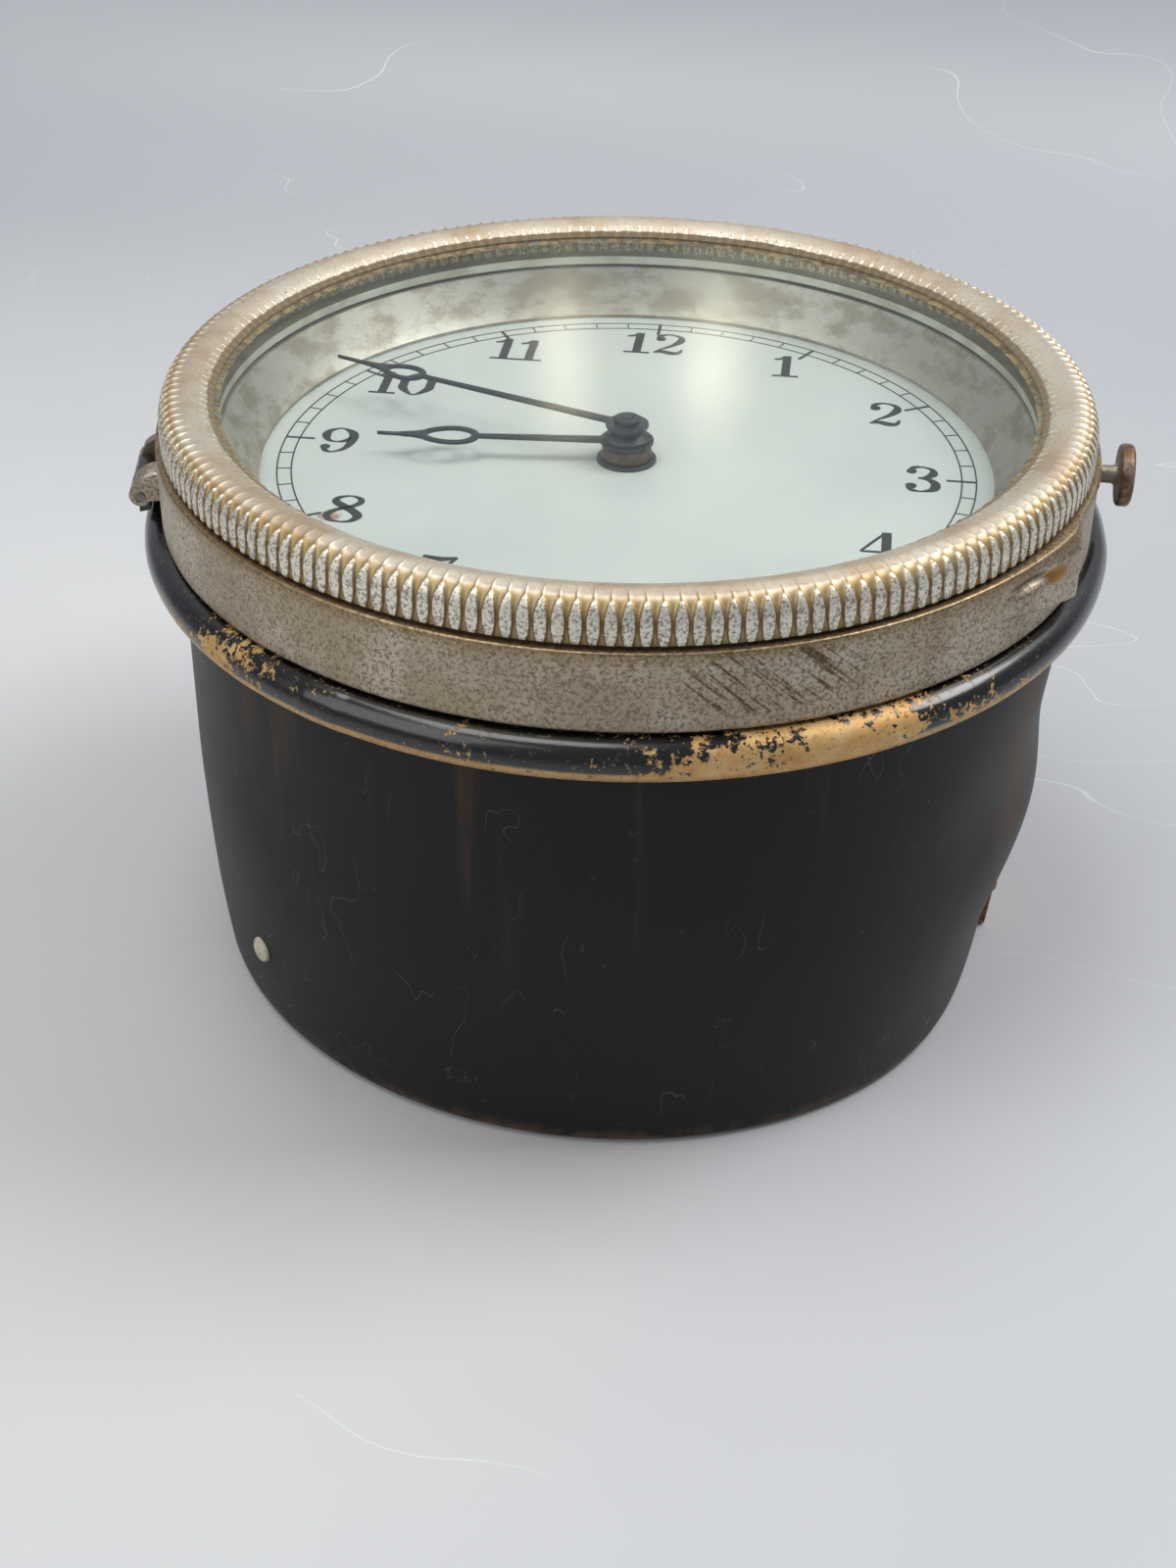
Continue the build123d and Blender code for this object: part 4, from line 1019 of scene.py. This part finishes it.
def makeSetPin():
    knobLow, knobHigh = lowHigh("set_pin_knob")
    stemLow = lowHigh("set_pin_stem")[0]
    centreZ = (knobLow.z + knobHigh.z) / 2
    headR, stemR = (knobHigh.z - knobLow.z) / 2, 0.8
    x0, x1, x2 = stemLow.x, knobLow.x, knobHigh.x
    outline = [(0, x0), (stemR, x0), (stemR, x1 - 0.5), (stemR + 0.25, x1 - 0.1), (headR - 0.7, x1)]
    outline += arc((headR - 0.35, x1 + 0.35), 0.35, -90, 0, 5)
    outline += arc((headR - 0.45, x2 - 0.45), 0.45, 0, 80, 5)
    outline += [(headR * 0.6, x2 - 0.02), (headR * 0.3, x2 - 0.10), (0, x2 - 0.14)]
    piece = turned("setPin", outline, setPinPaint(), "set_pin", "pin_brown",
                   ["set_pin_stem", "set_pin_knob"], 72)
    for vertex in piece.data.vertices:
        x, y, z = vertex.co / mm
        vertex.co = Vector((z, y, centreZ - x)) * mm


# ---- lug and rivets on the can
lug = {"angle": 2.0, "width": 8.0, "thick": 0.8, "top": 5.6, "foot": 0.3, "corner": 1.6, "lean": 0.5}
rivets = {
    "sideRivet": {"angle": 221.5, "z": 8.4, "sunk": 0.52, "radius": 1.25, "height": 0.5,
                  "on": "mounting_can", "replaces": ["can_rivets"]},
    "lugRivet": {"angle": 2.0, "z": 3.1, "sunk": 0.35, "radius": 1.2, "height": 0.45,
                 "on": "fixing_lug", "replaces": []},
}


def fixingPaint(name, tone, dark):
    paint = Paint(name)
    speck = paint.noise(1.8, 5, 0.7)
    colour = paint.mix(speck.fade(0.45, 0.66), tone, dark)
    return paint.finish(colour, 0.5 + speck * 0.2, 0.1, paint.bump(speck, 0.06, 0.6))


def makeLug(material):                   # a plate bent to the can, leaning in with its dent
    outR = lowHigh("fixing_lug")[1].x
    half, middle, corner = lug["width"] / 2, math.radians(lug["angle"]), lug["corner"]
    rows, columns = 14, 18
    row = columns + 1
    points, faces = [], []
    for side in (0, 1):
        for i in range(rows + 1):
            t = i / rows
            z = lug["foot"] + (lug["top"] - lug["foot"]) * t
            square = min(lug["top"] - z, corner)
            reach = half - corner + math.sqrt(max(square * (2 * corner - square), 0))
            for j in range(row):
                angle = middle + reach * (2 * j / columns - 1) / outR
                radius = outR - side * (lug["thick"] + 0.06) - dentAt(angle, z) - (1 - t) * lug["lean"]
                points.append((radius * math.cos(angle), radius * math.sin(angle), z))
    size = (rows + 1) * row
    for i in range(rows):
        for j in range(columns):
            a = i * row + j
            faces.append((a, a + 1, a + row + 1, a + row))
            faces.append((size + a + row, size + a + row + 1, size + a + 1, size + a))
    ring = list(range(row)) + [i * row + columns for i in range(1, rows + 1)]
    ring += [rows * row + j for j in range(columns - 1, -1, -1)] + [i * row for i in range(rows - 1, 0, -1)]
    faces += [(a, a + size, b + size, b) for a, b in zip(ring, ring[1:] + ring[:1])]
    piece = makeMesh("fixingLug", points, faces, material, "can", "lug_brown", ["fixing_lug"])
    weldAxis(piece)
    softEdges(piece, 40)


def makeRivet(name, material):           # a low dome with its shank going into the wall
    rivet = rivets[name]
    turn = math.radians(rivet["angle"])
    seatR = lowHigh(rivet["on"])[1].x - rivet["sunk"] - dentAt(turn, rivet["z"])
    levels, around, shank = 7, 36, 0.6
    points = []
    for i in range(levels + 1):
        t = math.pi / 2 * i / levels
        out = seatR + rivet["height"] * math.sin(t) - (0 if i else shank)
        wide = rivet["radius"] * math.cos(t) ** 0.7
        for j in range(around):
            a = fullTurn * j / around
            u, v = wide * math.cos(a), wide * math.sin(a)
            points.append((out * math.cos(turn) - u * math.sin(turn),
                           out * math.sin(turn) + u * math.cos(turn), rivet["z"] + v))
    faces = [(i * around + j, i * around + (j + 1) % around, (i + 1) * around + (j + 1) % around,
              (i + 1) * around + j) for i in range(levels) for j in range(around)]
    faces.append(tuple(reversed(range(around))))
    weldAxis(makeMesh(name, points, faces, material, "can", "rivet_pale", rivet["replaces"]))


# ---- the hidden metalwork keeps its CAD shape and takes a worked finish
metals = {
    "brass": {"light": (0.66, 0.47, 0.20), "dark": (0.40, 0.26, 0.10), "rough": 0.28},
    "steel": {"light": (0.52, 0.52, 0.53), "dark": (0.25, 0.24, 0.23), "rough": 0.25},
    "inner_tin": {"light": (0.74, 0.73, 0.64), "dark": (0.50, 0.47, 0.36), "rough": 0.30},
}


def metalPaint(name, tone):
    paint = Paint(name)
    cloud = paint.noise(0.2, 4, 0.6)
    brushed = paint.noise(2.2, 3, 0.6, paint.wrapped(30), (1, 0.15, 1), 2.0)
    colour = paint.mix(cloud.fade(0.4, 0.66) * 0.8, tone["light"], tone["dark"])
    rough = tone["rough"] + cloud * 0.15 + brushed * 0.1
    return paint.finish(colour, rough, 0.95, paint.bump(brushed, 0.02, 0.4))


def dressHidden():
    slots = {entry["node"]: entry["material_slot"] for entry in frame["record"]["subparts"]}
    made = {slot: metalPaint(f"{slot}Worked", tone) for slot, tone in metals.items()}
    for name, piece in frame["nodes"].items():
        slot = slots.get(name)
        if slot in made:
            piece.data.materials[0] = made[slot]


# ---- table and light
table = {"tone": (0.600, 0.610, 0.625), "size": 1.6, "wallAt": 0.235, "wallHeight": 0.6, "coveR": 0.05}


def tablePaint():
    paint = Paint("tableTop")
    cloud = paint.noise(0.012, 4, 0.55)
    grit = (1 - paint.cells(0.055, None, 3.0).fade(0.02, 0.05)) * paint.noise(0.02, 2, 0.5).fade(0.50, 0.62)
    line = paint.noise(0.015, 2, 0.5, None, (1, 2.2, 1), 14.0)
    hair = line.hump(0.5, 0.0012) * paint.noise(0.01, 2, 0.5, None, None, 7.0).fade(0.5, 0.6)
    colour = paint.mix(cloud.fade(0.3, 0.7), table["tone"], (0.640, 0.650, 0.660))
    # painted light pool: the table top darkens with distance from a bright spot left of and in front of the clock,
    # standing in for the lamps' falloff
    away = ((paint.x + 95) * (paint.x + 95) + (paint.y + 20) * (paint.y + 20)) ** 0.5
    paintedFalloff = away.fade(30.0, 260.0) * 0.72
    colour = paint.mix(paintedFalloff, colour, (0.36, 0.38, 0.42))
    colour = paint.mix(grit * 0.55, colour, (0.20, 0.18, 0.16))
    colour = paint.mix(hair * 0.5, colour, (0.85, 0.87, 0.88))
    return paint.finish(colour, 0.38 + cloud * 0.12, 0.0, paint.bump(paint.noise(0.4, 3, 0.5), 0.05, 0.2))


def makeTable():
    half, wall, high, curve = table["size"] / 2, table["wallAt"], table["wallHeight"], table["coveR"]
    section = [(-half, 0.0), (wall - curve, 0.0)]
    section += [(wall - curve + curve * math.sin(a), curve - curve * math.cos(a))
                for a in (math.radians(10 * i) for i in range(1, 9))]
    section += [(wall, curve), (wall, high)]
    points = [(x, y, z) for y, z in section for x in (-half, half)]
    faces = [(2 * i, 2 * i + 1, 2 * i + 3, 2 * i + 2) for i in range(len(section) - 1)]
    mesh = bpy.data.meshes.new("table")
    mesh.from_pydata(points, [], faces)
    mesh.materials.append(tablePaint())
    mesh.polygons.foreach_set("use_smooth", [True] * len(mesh.polygons))
    floor = bpy.data.objects.new("table", mesh)
    bpy.context.collection.objects.link(floor)


lights = [
    {"name": "keyLight", "at": (0.32, 0.10, 0.46), "size": (0.26, 0.26), "power": 1.9,
     "tone": (1.0, 0.985, 0.97)},
    {"name": "fillLight", "at": (-0.42, -0.38, 0.45), "size": (0.5, 0.5), "power": 1.40,
     "tone": (0.99, 0.99, 0.99)},
    {"name": "topLight", "at": (-0.14, -0.02, 0.62), "size": (0.36, 0.30), "power": 1.55,
     "tone": (1.0, 0.99, 0.96)},
    {"name": "warmStrip", "at": (-0.035, 0.216, 0.148), "size": (0.007, 0.026), "power": 0.0030,
     "tone": (1.0, 0.86, 0.55)},
    {"name": "warmStripRight", "at": (-0.005, 0.216, 0.146), "size": (0.010, 0.024), "power": 0.0036,
     "tone": (1.0, 0.88, 0.62)},
]


def makeLights():
    aim = Vector((0, 0, 0.035))
    for entry in lights:
        data = bpy.data.lights.new(entry["name"], "AREA")
        data.shape = "RECTANGLE"
        data.size, data.size_y = entry["size"]
        data.energy = entry["power"]
        data.color = entry["tone"]
        lamp = bpy.data.objects.new(entry["name"], data)
        lamp.location = entry["at"]
        lamp.rotation_euler = (Vector(entry["at"]) - aim).to_track_quat("Z", "Y").to_euler()
        bpy.context.collection.objects.link(lamp)
    world = bpy.data.worlds.new("room")
    bpy.context.scene.world = world
    world.use_nodes = True
    back = world.node_tree.nodes["Background"]
    back.inputs[0].default_value = (0.88, 0.91, 0.95, 1)
    back.inputs[1].default_value = 0.30


makeCan()
beadMaterial = beadPaint()
makeBead()
bandMaterial = bandPaint()
makeBand(bandMaterial)
print("can and band ready")
bezelMaterial = bezelPaint()
makeHinge(bandMaterial)
makeBezel(bezelMaterial)
makeGlass()
makeSeal()
print("bezel ready")
makeSurround()
makeDial()
makeNumerals()
steelBlue = handPaint()
makeHand("hour", steelBlue)
makeHand("minute", steelBlue)
makeCentre(steelBlue)
makeSetPin()
rustMaterial = fixingPaint("lugRust", (0.33, 0.13, 0.045), (0.030, 0.018, 0.014))
makeLug(rustMaterial)
makeRivet("sideRivet", fixingPaint("rivetPale", (0.62, 0.56, 0.44), (0.34, 0.28, 0.20)))
makeRivet("lugRivet", rustMaterial)
dressHidden()
print("dial and hands ready")
makeTable()
makeLights()
print("table and light ready")
